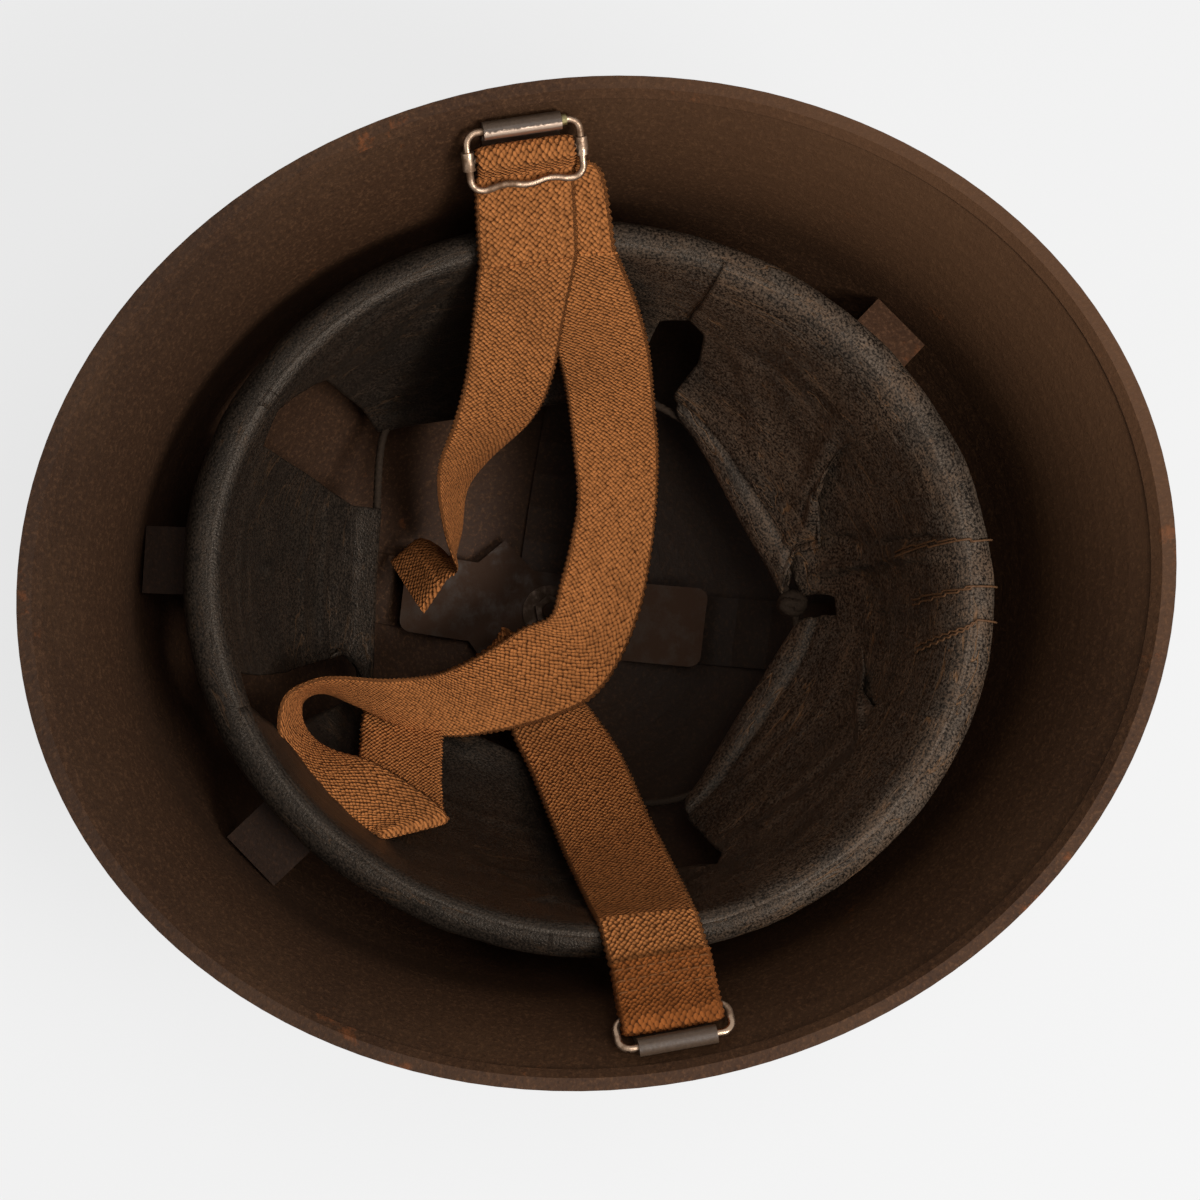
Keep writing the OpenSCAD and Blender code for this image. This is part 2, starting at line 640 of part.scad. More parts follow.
// A point of the head band's outer face: X outward, square to the band.
module at_band(angle) {
    translate(from_polar([angle, head_band_out(angle), 0]))
        rotate([0, 0, square_out(angle)]) children();
}
// Spring tabs: a leg riveted to the head band and a leaf that reaches to the wall.
tab_rivet_side = 5;
tab_foot = 0.1;
module at_tab(angle, side) {
    at_band(angle) translate([0, side * tab_rivet_side, tab_rivet_z]) rotate([0, 90, 0]) children();
}
// Distance from the head band to the wall along one side of a tab.
function tab_reach(angle, side) =
    let (
        out = square_out(angle) + liner_turn,
        foot = turned(from_polar([angle, head_band_out(angle), 0]), liner_turn),
        x = foot.x - side * tab_width / 2 * sin(out),
        y = (foot.y + side * tab_width / 2 * cos(out)) / long_ratio,
        ahead = [cos(out), sin(out) / long_ratio],
        lift = x * ahead.x + y * ahead.y)
    (sqrt(lift * lift - (ahead * ahead) * (x * x + y * y - pow(wall_r(tab_tip_z), 2))) - lift) / (ahead * ahead);
module spring_tab(angle) {
    tip = min(tab_reach(angle, 1), tab_reach(angle, -1)) - seat;
    color("#5a4334") rotate([0, 0, liner_turn]) difference() {
        at_band(angle) rotate([90, 0, 0]) linear_extrude(tab_width, center = true) polygon([
            [tab_foot, tab_bottom], [tab_foot, tab_top + tab_thick], [tip, tab_tip_z + tab_thick],
            [tip, tab_tip_z], [tab_foot + tab_thick, tab_top], [tab_foot + tab_thick, tab_bottom]]);
        for (side = [-1, 1]) at_tab(angle, side)
            cylinder(d = liner_rivet_dia + 2 * hole_fit, h = 10);
    }
}
module spring_tab_front() { spring_tab(TAB_ANGLES[0]); }
module spring_tab_front_right() { spring_tab(TAB_ANGLES[1]); }
module spring_tab_rear_left() { spring_tab(TAB_ANGLES[2]); }
// Their rivets are flush on the inside, where the crown bands pass.
module spring_tab_rivets() {
    outer = tab_foot + tab_thick + 0.05;
    shank = liner_rivet_dia / 2;
    head = shank + 1.2;
    color("#6a5a48") rotate([0, 0, liner_turn])
        for (angle = TAB_ANGLES, side = [-1, 1]) at_tab(angle, side) rotate_extrude() polygon([
            [0, 0.05 - head_band_thick], [shank, 0.05 - head_band_thick], [shank, outer], [head, outer],
            [head, outer + 0.3], [head - 0.3, outer + 0.6], [0, outer + 0.6]]);
}

// A tongue of leathercloth hangs from the roll and is drawn in at its hem.
function tongue_root(angle) =
    from_polar([angle, tongue_r * oval_r(angle, liner_oval), tongue_top]);
function tongue_point(t, u, v) =
    let (
        root = tongue_root(t[0][0] + (t[0][1] - t[0][0]) * u),
        hem = in_bowl(from_polar(t[1]) * (1 - u) + from_polar(t[2]) * u),
        spread = root * t[3] + hem * (1 - t[3]),
        middle = [spread.x, spread.y, root.z * 0.28 + hem.z * 0.72])
    root * (1 - v) * (1 - v) + middle * 2 * v * (1 - v) + hem * v * v;
module tongue(t) {
    color("#23211f") rotate([0, 0, liner_turn]) sheet(
        [for (i = [0 : tongue_rows]) [for (j = [0 : tongue_cols]) tongue_point(t, j / tongue_cols, i / tongue_rows)]],
        leather);
}
module tongue_left() { tongue(TONGUES[0]); }
module tongue_front() { tongue(TONGUES[1]); }
module tongue_right() { tongue(TONGUES[2]); }
module tongue_rear_right() { tongue(TONGUES[3]); }
module tongue_rear() { tongue(TONGUES[4]); }
module tongue_rear_left() { tongue(TONGUES[5]); }

// The drawstring runs along the hems from one side of its knot to the other.
function along_hem(t, u) =
    let (
        edge = tongue_point(t, u, 1),
        inward = unit(edge - tongue_point(t, u, 0.9)))
    edge + inward * (string_dia / 2 + leather / 2 + 2 * seat);
hem_route = [for (i = [5, 0, 1, 2, 3], u = [0.05, 0.2, 0.5, 0.8, 0.95]) along_hem(TONGUES[i], u)];
function at_knot(next) =
    let (knot = in_bowl(from_polar(knot_at)))
    knot + unit(next - knot) * (knot_dia / 2 + 0.1);
string_route = concat([at_knot(hem_route[0])], hem_route, [at_knot(hem_route[len(hem_route) - 1])]);
module drawstring() {
    color("#2b241e") rotate([0, 0, liner_turn]) tube(smooth(string_route, 3), string_dia / 2, 8);
}
module drawstring_knot() {
    color("#2b241e") rotate([0, 0, liner_turn]) translate(in_bowl(from_polar(knot_at))) sphere(d = knot_dia);
}
module rear_seam() {
    seam_thick = 0.6;
    seam_width = 1.4;
    seam_pitch = 4.7;
    color("#6d4a2e") rotate([0, 0, liner_turn])
        for (step = [-1, 0, 1])
            at_band(93.5 - step * seam_pitch) translate([-head_band_thick / 2, 0, roll_z])
                rotate([90, -10, 0]) translate([0, 0, -seam_width / 2]) rotate_extrude(angle = 200)
                    translate([roll_r * liner_oval + seat / 2, 0]) square([seam_thick, seam_width]);
}

// A lug: a flange on the wall, whose end is rolled round the wire.
module lug(side) {
    color("#5f5548") {
        difference() {
            union() {
                on_flange(side) translate([0, 0, lug_roll_r]) translate([-rivet_place, 0, 0])
                    rotate([90, 0, 0]) cylinder(r = lug_roll_r, h = lug_width, center = true);
                on_flange(side) translate([-rivet_place, -lug_width / 2, 0])
                    cube([flange_length, lug_width, lug_thick]);
            }
            on_flange(side) translate([-rivet_place, 0, lug_roll_r]) rotate([90, 0, 0])
                cylinder(r = loop_r + wire_fit, h = lug_width + 2, center = true);
            on_flange(side) rivet_holes();
        }
    }
}
module lug_left() { lug(-1); }
module lug_right() { lug(1); }
module lug_rivets(side) {
    outer = -lug_sag - steel - rivet_seat;
    inner = lug_thick + 0.05;
    head = rivet_head_dia / 2;
    shank = rivet_dia / 2;
    color("#4f4236") on_flange(side) for (s = [-1, 1])
        translate([0, s * rivet_pitch / 2, 0]) rotate_extrude() polygon([
            [0, outer - rivet_head_height], [head * 0.45, outer - rivet_head_height * 0.9],
            [head * 0.8, outer - rivet_head_height * 0.6], [head, outer - rivet_head_height * 0.15],
            [head, outer], [shank, outer], [shank, inner], [head - 0.6, inner],
            [head - 0.6, inner + 0.5], [head - 0.9, inner + 0.8], [0, inner + 0.8]]);
}
module lug_rivets_left() { lug_rivets(-1); }
module lug_rivets_right() { lug_rivets(1); }

// Wire loop in its own plane: the hinge line along Y, the loop towards X.
module wire_run(from, to) {
    v = to - from;
    translate([from.x, from.y, 0]) rotate([0, 90, atan2(v.y, v.x)]) cylinder(d = wire_dia, h = norm(v));
}
module wire_bend(centre, radius, from, turn, dia = wire_dia) {
    translate([centre.x, centre.y, 0]) rotate([0, 0, from]) rotate_extrude(angle = turn)
        translate([radius, 0]) circle(d = dia, $fn = 32);
}
module wire_loop(length, waves) {
    half = loop_width / 2;
    c = loop_corner;
    wire_run([0, c - half], [0, half - c]);
    for (side = [-1, 1]) wire_run([c, side * half], [length - c, side * half]);
    wire_bend([c, half - c], c, 90, 90);
    wire_bend([c, c - half], c, 180, 90);
    wire_bend([length - c, half - c], c, 0, 90);
    wire_bend([length - c, c - half], c, 270, 90);
    if (waves == 0)
        wire_run([length, c - half], [length, half - c]);
    else {
        step = (loop_width - 2 * c) / (2 * waves + 2);
        swing = 2 * atan(wave_depth / 2 / step);
        bend_r = step / sin(swing);
        start = c - half;
        lap = 0.4;
        wire_bend([length - bend_r, start], bend_r, 0, swing);
        wire_bend([length - bend_r, -start], bend_r, -swing, swing);
        for (i = [0 : waves - 1]) {
            middle = start + step * (2 * i + 2);
            if (i % 2 == 0)
                wire_bend([length - wave_depth + bend_r, middle], bend_r, 180 - swing - lap, 2 * (swing + lap),
                    wire_dia - 0.04);
            else
                wire_bend([length - bend_r, middle], bend_r, -swing, 2 * swing);
        }
    }
}
module buckle_frame() {
    color("#a59a80") at_hinge(-1, frame_slope) wire_loop(frame_length, 3);
}
module buckle_ferrule() {
    from = lug_width / 2 + 0.2;
    color("#8f8657") at_hinge(-1, frame_slope) translate([0, from, 0]) rotate([-90, 0, 0]) difference() {
        cylinder(d = wire_dia + 0.9, h = min(ferrule_length, loop_width / 2 - loop_corner - from));
        translate([0, 0, -1]) cylinder(d = wire_dia + 2 * binding_fit, h = 6);
    }
}
module slide_bar() {
    color("#958b76") at_hinge(-1, frame_slope) translate([slide_place, 0, 0]) difference() {
        union() {
            rotate([90, 0, 0]) cylinder(d = wire_dia, h = loop_width, center = true);
            for (side = [-1, 1]) translate([0, side * loop_width / 2, 0]) rotate([0, 90, 0])
                cylinder(d = sleeve_dia, h = sleeve_length, center = true);
        }
        for (side = [-1, 1]) translate([0, side * loop_width / 2, 0]) rotate([0, 90, 0])
            cylinder(r = loop_r + wire_fit, h = sleeve_length + 2, center = true);
    }
}
module strap_loop_right() {
    color("#a59a80") at_hinge(1, plain_slope) wire_loop(plain_length, 0);
}
module strap_fold_left() {
    color("#a6763d") webbing(left_fold, 3);
}
module strap_fold_right() {
    color("#a6763d") webbing(right_fold, 3);
}
module chinstrap() {
    color("#a6763d") webbing(strap_route, 3);
}
module strap_tail() {
    color("#a6763d") webbing(tail_route, 3);
}

shell();
rim_binding();
crown_bolt();
crown_washer();
crown_nut();
crown_plate();
crown_band_long();
crown_band_cross();
crown_band_rivets();
head_band();
sweatband_roll();
spring_tab_front();
spring_tab_front_right();
spring_tab_rear_left();
spring_tab_rivets();
tongue_left();
tongue_front();
tongue_right();
tongue_rear_right();
tongue_rear();
tongue_rear_left();
drawstring();
drawstring_knot();
rear_seam();
lug_left();
lug_right();
lug_rivets_left();
lug_rivets_right();
buckle_frame();
buckle_ferrule();
slide_bar();
strap_loop_right();
strap_fold_left();
strap_fold_right();
chinstrap();
strap_tail();
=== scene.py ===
# %% [markdown]
# # A pressed steel crew helmet, seen into its bowl
# The helmet lies on its crown, so the camera looks down past the painted brim into the liner. What the eye
# meets first is soft: an ochre webbing chinstrap and black leathercloth. The steel around them is matt,
# dirty and rusted. The CAD model gives every hard piece its place, and this script gives the soft pieces
# their real form and everything its finish.

# %% The CAD frame
import math

import bpy
import numpy as np
from mathutils import Matrix, Vector, noise


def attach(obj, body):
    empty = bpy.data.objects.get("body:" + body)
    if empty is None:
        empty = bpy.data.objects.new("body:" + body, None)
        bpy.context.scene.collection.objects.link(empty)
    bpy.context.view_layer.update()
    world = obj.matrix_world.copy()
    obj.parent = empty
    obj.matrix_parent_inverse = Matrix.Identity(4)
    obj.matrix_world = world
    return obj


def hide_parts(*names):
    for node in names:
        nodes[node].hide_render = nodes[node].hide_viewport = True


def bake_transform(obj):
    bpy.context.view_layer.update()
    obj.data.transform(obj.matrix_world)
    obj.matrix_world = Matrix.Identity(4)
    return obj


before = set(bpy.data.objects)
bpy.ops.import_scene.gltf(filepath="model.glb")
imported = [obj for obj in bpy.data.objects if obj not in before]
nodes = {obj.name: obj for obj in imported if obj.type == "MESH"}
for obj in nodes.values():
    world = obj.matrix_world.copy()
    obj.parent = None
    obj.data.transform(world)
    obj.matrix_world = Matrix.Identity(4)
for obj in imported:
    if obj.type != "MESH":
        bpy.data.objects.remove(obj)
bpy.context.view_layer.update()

# %% [markdown]
# ## The camera
# The photograph was taken from about 0.9 m above the rim with a long lens, and the helmet leaned a few
# degrees under it. The lean and the lens were found by fitting the rim, the crown nut and the two lugs to
# the picture.

# %% The camera over the bowl
PICTURE, SENSOR = 1200, 36
FOCAL_PIXELS, OFF_MIDDLE = 3716.2, (-7.22, -21.73)
TURNED_ROUND, LEANED, TIPPED = 80.283, -6.639, 3.926
RIM_HEIGHT, CAMERA_DISTANCE = 0.1476, 0.9

camera = bpy.data.objects.new("camera", bpy.data.cameras.new("camera"))
bpy.context.scene.collection.objects.link(camera)
lean = (Matrix.Rotation(math.radians(TURNED_ROUND), 4, "Z") @ Matrix.Rotation(math.radians(LEANED), 4, "Y")
        @ Matrix.Rotation(math.radians(TIPPED), 4, "X"))
camera.matrix_world = (Matrix.Translation((0, 0, RIM_HEIGHT)) @ lean
                       @ Matrix.Translation((0, 0, CAMERA_DISTANCE)))
camera.data.lens = SENSOR * FOCAL_PIXELS / PICTURE
camera.data.shift_x, camera.data.shift_y = (v / PICTURE for v in OFF_MIDDLE)
bpy.context.scene.camera = camera
print("camera at", [round(v, 4) for v in camera.matrix_world.translation], "lens", round(camera.data.lens, 1))

# %% [markdown]
# ## Working in millimetres
# Each soft piece is a grid of points that follows a rule, such as an arc round the liner's roll or a strip
# between two edges. A grid keeps its rows along the cloth, so the weave can run along the real strap and
# not across the world.

# %% Surfaces from grids of points
MM = 0.001
# The middle of the rolled lugs, on the wearer's left and right
LUG_X, LUG_Y, LUG_Z = 112.992, -1.5, 143.5


def unit(v):
    """Vectors of length one."""
    return v / np.maximum(np.linalg.norm(v, axis=-1, keepdims=True), 1e-9)


def ease(x, low, high):
    """0 below low, 1 above high and a soft step between them."""
    t = np.clip((x - low) / (high - low), 0, 1)
    return t * t * (3 - 2 * t)


def grid_normals(grid):
    """Direction square to a grid of points at each of them."""
    return unit(np.cross(np.gradient(grid, axis=0), np.gradient(grid, axis=1)))


def skin(name, grid, lengths=None, round_rows=False, round_columns=False):
    """A smooth surface on rows of points in millimetres. lengths are the UVs, also in millimetres."""
    rows, columns = grid.shape[:2]
    i = np.arange(rows if round_rows else rows - 1)
    j = np.arange(columns if round_columns else columns - 1)
    i, j = (a.ravel() for a in np.meshgrid(i, j, indexing="ij"))
    i2, j2 = (i + 1) % rows, (j + 1) % columns
    quads = np.stack([i * columns + j, i * columns + j2, i2 * columns + j2, i2 * columns + j], 1)
    mesh = bpy.data.meshes.new(name)
    mesh.from_pydata((grid.reshape(-1, 3) * MM).tolist(), [], quads.tolist())
    mesh.shade_smooth()
    if lengths is not None:
        layer = mesh.uv_layers.new(name="cut")
        layer.data.foreach_set("uv", lengths.reshape(-1, 2)[quads.ravel()].ravel().astype(np.float32))
    piece = bpy.data.objects.new(name, mesh)
    bpy.context.scene.collection.objects.link(piece)
    return piece


def lumps(points, size, seed):
    """Soft random heights between about -1 and 1 at points in millimetres."""
    flat = points.reshape(-1, 3) / size + seed * 17.3
    return np.array([noise.noise(Vector(p)) for p in flat]).reshape(points.shape[:-1])


print("grid tools ready")

# %% [markdown]
# ## Shader effects as node groups
# Old paint, leather and cloth share a few effects: patches, fine lines and grains. Each is a small node
# group that gives masks or heights, placed in every material with its own scale. Shaders stay in the
# materials themselves.

# %% Helpers for nodes


def feed(tree, sockets, inputs):
    """Joins or sets the inputs of a node."""
    for key, value in inputs.items():
        if isinstance(value, bpy.types.NodeSocket):
            tree.links.new(value, sockets[key])
        else:
            sockets[key].default_value = value


def add(tree, kind, inputs=None, **settings):
    """A node with its settings, and with its inputs set or joined."""
    made = tree.nodes.new(kind)
    for key, value in settings.items():
        setattr(made, key, value)
    feed(tree, made.inputs, inputs or {})
    return made


def maths(tree, operation, a, b=0.0):
    """One step of arithmetic."""
    return add(tree, "ShaderNodeMath", {0: a, 1: b}, operation=operation).outputs[0]


def product(tree, first, *others):
    """All values multiplied."""
    for value in others:
        first = maths(tree, "MULTIPLY", first, value)
    return first


def total(tree, start, *parts):
    """A value plus others, each times its weight."""
    for value, weight in parts:
        start = maths(tree, "ADD", start, maths(tree, "MULTIPLY", value, weight))
    return start


def between(tree, value, low, high):
    """0 below low and 1 above high, softly."""
    return add(tree, "ShaderNodeMapRange", {"Value": value, "From Min": low, "From Max": high},
               interpolation_type="SMOOTHSTEP").outputs["Result"]


def axes(tree, point):
    """The three numbers of a point."""
    return add(tree, "ShaderNodeSeparateXYZ", {0: point}).outputs


def noise_at(tree, point, scale, detail, roughness=0.5, distortion=0.0):
    """A cloudy value between 0 and 1."""
    return add(tree, "ShaderNodeTexNoise", {
        "Vector": point, "Scale": scale, "Detail": detail, "Roughness": roughness,
        "Distortion": distortion}).outputs["Fac"]


def shade(colour, share):
    """A colour made darker or paler."""
    return tuple(share * v for v in colour)


def blend_colours(tree, mask, under, over):
    """One colour over another where the mask says so."""
    under, over = ((*c, 1) if isinstance(c, tuple) else c for c in (under, over))
    made = add(tree, "ShaderNodeMix", {"Factor": mask, "A": under, "B": over}, data_type="RGBA")
    return made.outputs["Result"]


def coats(tree, base, *layers):
    """A base colour under layers, each with its mask."""
    for mask, colour in layers:
        base = blend_colours(tree, mask, base, colour)
    return base


def group(name, sockets, *results):
    """An empty node group with its inputs and its outputs."""
    tree = bpy.data.node_groups.new(name, "ShaderNodeTree")
    for key, (kind, value) in sockets.items():
        socket = tree.interface.new_socket(name=key, in_out="INPUT", socket_type=kind)
        if value is not None:
            socket.default_value = value
    for result in results:
        tree.interface.new_socket(name=result, in_out="OUTPUT", socket_type="NodeSocketFloat")
    return tree, tree.nodes.new("NodeGroupInput").outputs, tree.nodes.new("NodeGroupOutput").inputs


def place(tree, effect, **inputs):
    """A node group placed in a material: its one output, or all of them."""
    made = add(tree, "ShaderNodeGroup", node_tree=effect)
    feed(tree, made.inputs, inputs)
    return made.outputs[0] if len(made.outputs) == 1 else made.outputs


print("node helpers ready")

# %% [markdown]
# ### Patches
# Dirt, rust and chipped paint come in patches with ragged edges. Noise of several sizes, cut at a level,
# gives them. Amount is the share of the surface that they cover, and Softness is how wide their edges are.

# %% The patches group
patches, inside, out = group("patches", {
    "Vector": ("NodeSocketVector", None),
    "Scale": ("NodeSocketFloat", 50.0),
    "Amount": ("NodeSocketFloat", 0.3),
    "Softness": ("NodeSocketFloat", 0.05)}, "Mask")
level, edge = total(patches, 0.72, (inside["Amount"], -0.44)), inside["Softness"]
mask = between(patches, noise_at(patches, inside["Vector"], inside["Scale"], 6.0, 0.68),
               maths(patches, "SUBTRACT", level, edge), maths(patches, "ADD", level, edge))
patches.links.new(mask, out[0])
print("patches:", len(patches.nodes), "nodes")

# %% [markdown]
# ### Cracks and creases
# Leathercloth that has been bent for years shows thin pale lines where its coating cracked. They follow the
# places where a slow noise passes through its middle value, so they wander like real creases and never form
# a regular net.

# %% The creases group
creases, inside, out = group("creases", {
    "Vector": ("NodeSocketVector", None),
    "Scale": ("NodeSocketFloat", 60.0),
    "Width": ("NodeSocketFloat", 0.02)}, "Mask")
bent = noise_at(creases, inside["Vector"], inside["Scale"], 3.0, 0.6, 0.6)
off_middle = maths(creases, "ABSOLUTE", maths(creases, "SUBTRACT", bent, 0.5))
creases.links.new(between(creases, maths(creases, "DIVIDE", off_middle, inside["Width"]), 1.0, 0.2), out[0])
print("creases:", len(creases.nodes), "nodes")

# %% [markdown]
# ### The weave of the webbing
# This webbing is a heavy plain weave: fat threads show as round grains in staggered rows, each a little
# different. Cells on a square lattice that stands on its corner give such rows, and a slight unevenness
# keeps them from looking printed. The group is worked out along the strap's own lengths and also gives each
# grain its own tone.

# %% The grains group
grains, inside, out = group("grains", {
    "Across": ("NodeSocketFloat", 0.0),
    "Along": ("NodeSocketFloat", 0.0),
    "Pitch": ("NodeSocketFloat", 1.6)}, "Height", "Tone")
x = maths(grains, "DIVIDE", inside["Across"], inside["Pitch"])
y = maths(grains, "DIVIDE", inside["Along"], inside["Pitch"])
y = total(grains, y, (maths(grains, "PINGPONG", x, 1.0), 0.25))
slanted = add(grains, "ShaderNodeCombineXYZ", {
    0: maths(grains, "ADD", x, y), 1: maths(grains, "SUBTRACT", x, y)})
cell = add(grains, "ShaderNodeTexVoronoi", {"Vector": slanted.outputs[0], "Scale": 1.0, "Randomness": 0.30},
           voronoi_dimensions="2D").outputs
grains.links.new(between(grains, cell["Distance"], 0.80, 0.10), out[0])
grains.links.new(add(grains, "ShaderNodeSeparateColor", {0: cell["Color"]}).outputs[0], out[1])
print("grains:", len(grains.nodes), "nodes")

# %% [markdown]
# ## Finishes
# ### Shell paint
# The shell has a matt dark brown paint with sand in it against glare. It is browner and paler near the
# edge and darker further down, and paler still at the rear left, where hands have rubbed it. Low at the rear
# of the bowl a near-black is painted shade, where the rear tongues shadow the bottom. Rust shows in small
# patches.

# %% Painted steel


def finish(name):
    """A new material, its tree, its main shader and the point on the object."""
    material = bpy.data.materials.new(name)
    material.use_nodes = True
    tree = material.node_tree
    point = add(tree, "ShaderNodeTexCoord").outputs["Object"]
    return material, tree, tree.nodes["Principled BSDF"].inputs, point


def relief(tree, shader, height, strength, depth):
    """Feeds a height into the shader's normal. depth is in metres."""
    made = add(tree, "ShaderNodeBump", {"Height": height, "Strength": strength, "Distance": depth})
    tree.links.new(made.outputs[0], shader["Normal"])


def old_paint(name, low, middle, high, rust, rust_share, sand=1.0, roughness=0.62):
    """Matt paint with sand, patches of rust and a painted shade low at the rear. Its colours run from the
    bottom up.
    """
    material, tree, shader, point = finish(name)
    x, y, z = axes(tree, point)
    cloudy = place(tree, patches, Vector=point, Scale=28.0, Amount=0.5, Softness=0.14)
    sand_grains = noise_at(tree, point, 900.0, 3.0, 0.7)
    rusty = place(tree, patches, Vector=point, Scale=46.0, Amount=rust_share, Softness=0.035)
    rear_left = total(tree, product(tree, y, 0.8), (x, -0.6))
    # Painted shade: the bottom of the bowl is darker at the rear, where the rear tongues shadow it
    rear_bottom_painted_shade = product(tree, between(tree, y, -0.02, 0.03), between(tree, z, 0.075, 0.03), 0.7)
    handled = product(tree, between(tree, rear_left, 0.06, 0.13), between(tree, z, 0.09, 0.13), 0.55)
    base = coats(
        tree, blend_colours(tree, between(tree, z, 0.085, 0.128), low, middle),
        (product(tree, between(tree, z, 0.118, 0.146), cloudy), high),
        (product(tree, between(tree, sand_grains, 0.50, 0.68), 0.55), shade(high, 2.0)),
        (product(tree, between(tree, sand_grains, 0.47, 0.30), 0.5), shade(low, 0.45)),
        (product(tree, rusty, 0.75), blend_colours(tree, sand_grains, shade(rust, 0.5), shade(rust, 1.5))),
        # The near-black at the rear of the bottom is painted shade; the paler rub at the rear left is wear
        (rear_bottom_painted_shade, (0.008, 0.0062, 0.0048)), (handled, shade(high, 1.9)),
        (product(tree, between(tree, y, -0.03, -0.09), 0.28), (0.010, 0.006, 0.004)))
    feed(tree, shader, {
        "Base Color": base, "Roughness": total(tree, roughness - 0.08, (sand_grains, 0.18)),
        "Specular IOR Level": 0.12})
    relief(tree, shader, total(tree, sand_grains, (rusty, 0.5)), 0.35 * sand, 0.0006)
    return material


shell_paint = old_paint("shell paint", (0.037, 0.0170, 0.0082), (0.039, 0.0172, 0.0077),
                        (0.052, 0.0243, 0.0110), (0.13, 0.042, 0.012), 0.05)
rim_paint = old_paint("rim paint", (0.030, 0.013, 0.006), (0.044, 0.0195, 0.009), (0.060, 0.028, 0.013),
                      (0.17, 0.055, 0.018), 0.16)
liner_paint = old_paint("liner paint", (0.026, 0.0115, 0.005), (0.036, 0.0165, 0.0075), (0.05, 0.024, 0.011),
                        (0.09, 0.031, 0.010), 0.20, 0.6, 0.55)
tab_paint = old_paint("tab rust", (0.040, 0.0175, 0.008), (0.050, 0.0225, 0.011), (0.065, 0.030, 0.0145),
                      (0.11, 0.038, 0.014), 0.30, 0.7, 0.6)
# The two front tabs lie in shade, so their paint is a darker copy of the tab paint: painted shade
shaded_tab_paint = old_paint("tab paint with painted shade", (0.020, 0.0095, 0.005), (0.024, 0.011, 0.0055), (0.028, 0.013, 0.0065),
                           (0.07, 0.026, 0.010), 0.25, 0.7, 0.6)
print("five paints")

# %% [markdown]
# ### Bare metal
# The crown plate, its nut and the rivets were browned and have rusted evenly. The wire loops are tarnished
# but still shine, because the webbing and the chin keep rubbing them. Both are metal with a worn colour and
# an uneven roughness.

# %% Worn metal


def worn_metal(name, clean, dull, dull_share, roughness, metallic=1.0, scale=320.0):
    """Metal whose tarnish comes in patches."""
    material, tree, shader, point = finish(name)
    tarnish = place(tree, patches, Vector=point, Scale=scale, Amount=dull_share, Softness=0.12)
    fine = noise_at(tree, point, 1400.0, 4.0)
    feed(tree, shader, {
        "Base Color": blend_colours(tree, tarnish, clean, dull),
        "Metallic": total(tree, metallic, (tarnish, -0.55 * metallic)),
        "Roughness": total(tree, roughness, (tarnish, 0.3), (fine, 0.12)), "Specular IOR Level": 0.25})
    relief(tree, shader, maths(tree, "ADD", fine, tarnish), 0.25, 0.0002)
    return material


wire = worn_metal("tarnished wire", (0.42, 0.29, 0.20), (0.13, 0.07, 0.037), 0.45, 0.20, 1.0, 140.0)
sleeve = worn_metal("tarnished brass", (0.42, 0.34, 0.16), (0.15, 0.13, 0.06), 0.45, 0.3)
browned = worn_metal("browned steel", (0.034, 0.020, 0.012), (0.032, 0.014, 0.006), 0.6, 0.5, 0.10, 120.0)
nut_steel = worn_metal("nut steel", (0.10, 0.062, 0.040), (0.045, 0.024, 0.012), 0.6, 0.42, 0.4, 200.0)
rivets = worn_metal("rivet steel", (0.12, 0.085, 0.058), (0.07, 0.036, 0.018), 0.6, 0.42, 0.6)
print("five metals")

# %% [markdown]
# ### Lugs
# The lugs are strips of thin steel rolled round the wire. They were painted brown. On the left one the
# webbing has rubbed the paint off the side of the roll that faces into the bowl, so a bright ragged band
# shows there.

# %% Painted lugs with a rubbed band
lug_paint, tree, shader, point = finish("lug paint")
x, y, z = axes(tree, point)
chips = noise_at(tree, point, 900.0, 4.0, 0.7)
CHIPPING = 0.0014
inward = total(tree, LUG_X * MM - CHIPPING / 2, (maths(tree, "ABSOLUTE", x), -1.0), (chips, CHIPPING))
band = product(tree, between(tree, inward, 0.0007, 0.0011), between(tree, inward, 0.0034, 0.0024),
               between(tree, x, 0.05, -0.05))
brown = blend_colours(tree, chips, (0.030, 0.018, 0.011), (0.11, 0.070, 0.045))
feed(tree, shader, {
    "Base Color": blend_colours(tree, band, brown, (0.55, 0.40, 0.30)), "Metallic": product(tree, band, 0.9),
    "Roughness": total(tree, 0.42, (band, -0.12)), "Specular IOR Level": 0.3})
relief(tree, shader, maths(tree, "SUBTRACT", chips, band), 0.3, 0.0003)
print("band rubbed on the left lug")

# %% Finishes on the CAD pieces that stay
paints = {
    "shell": shell_paint, "rim_binding": rim_paint, "crown_bolt": browned, "crown_washer": nut_steel,
    "crown_nut": nut_steel, "crown_plate": browned, "crown_band_long": liner_paint,
    "crown_band_cross": liner_paint, "head_band": liner_paint, "crown_band_rivets": rivets,
    "spring_tab_rivets": rivets, "spring_tab_front": shaded_tab_paint,
    "spring_tab_front_right": shaded_tab_paint, "spring_tab_rear_left": tab_paint,
    "lug_left": lug_paint, "lug_right": lug_paint, "lug_rivets_left": rim_paint, "lug_rivets_right": rim_paint,
    "buckle_frame": wire, "buckle_ferrule": sleeve, "slide_bar": wire, "strap_loop_right": wire}
for name, material in paints.items():
    mesh = nodes[name].data
    mesh.materials.clear()
    mesh.materials.append(material)
print(len(paints), "CAD pieces painted")

# %% [markdown]
# ### Leathercloth
# The liner's cover is cotton cloth with a black grained coating. At the back a head has rubbed it grey
# brown, with matt scuffs and tan cracks that run along the hems. The cracks and streaks are noise that is
# squeezed along the cloth's own lengths, so they lie with the folds and not at random.

# %% Black leathercloth


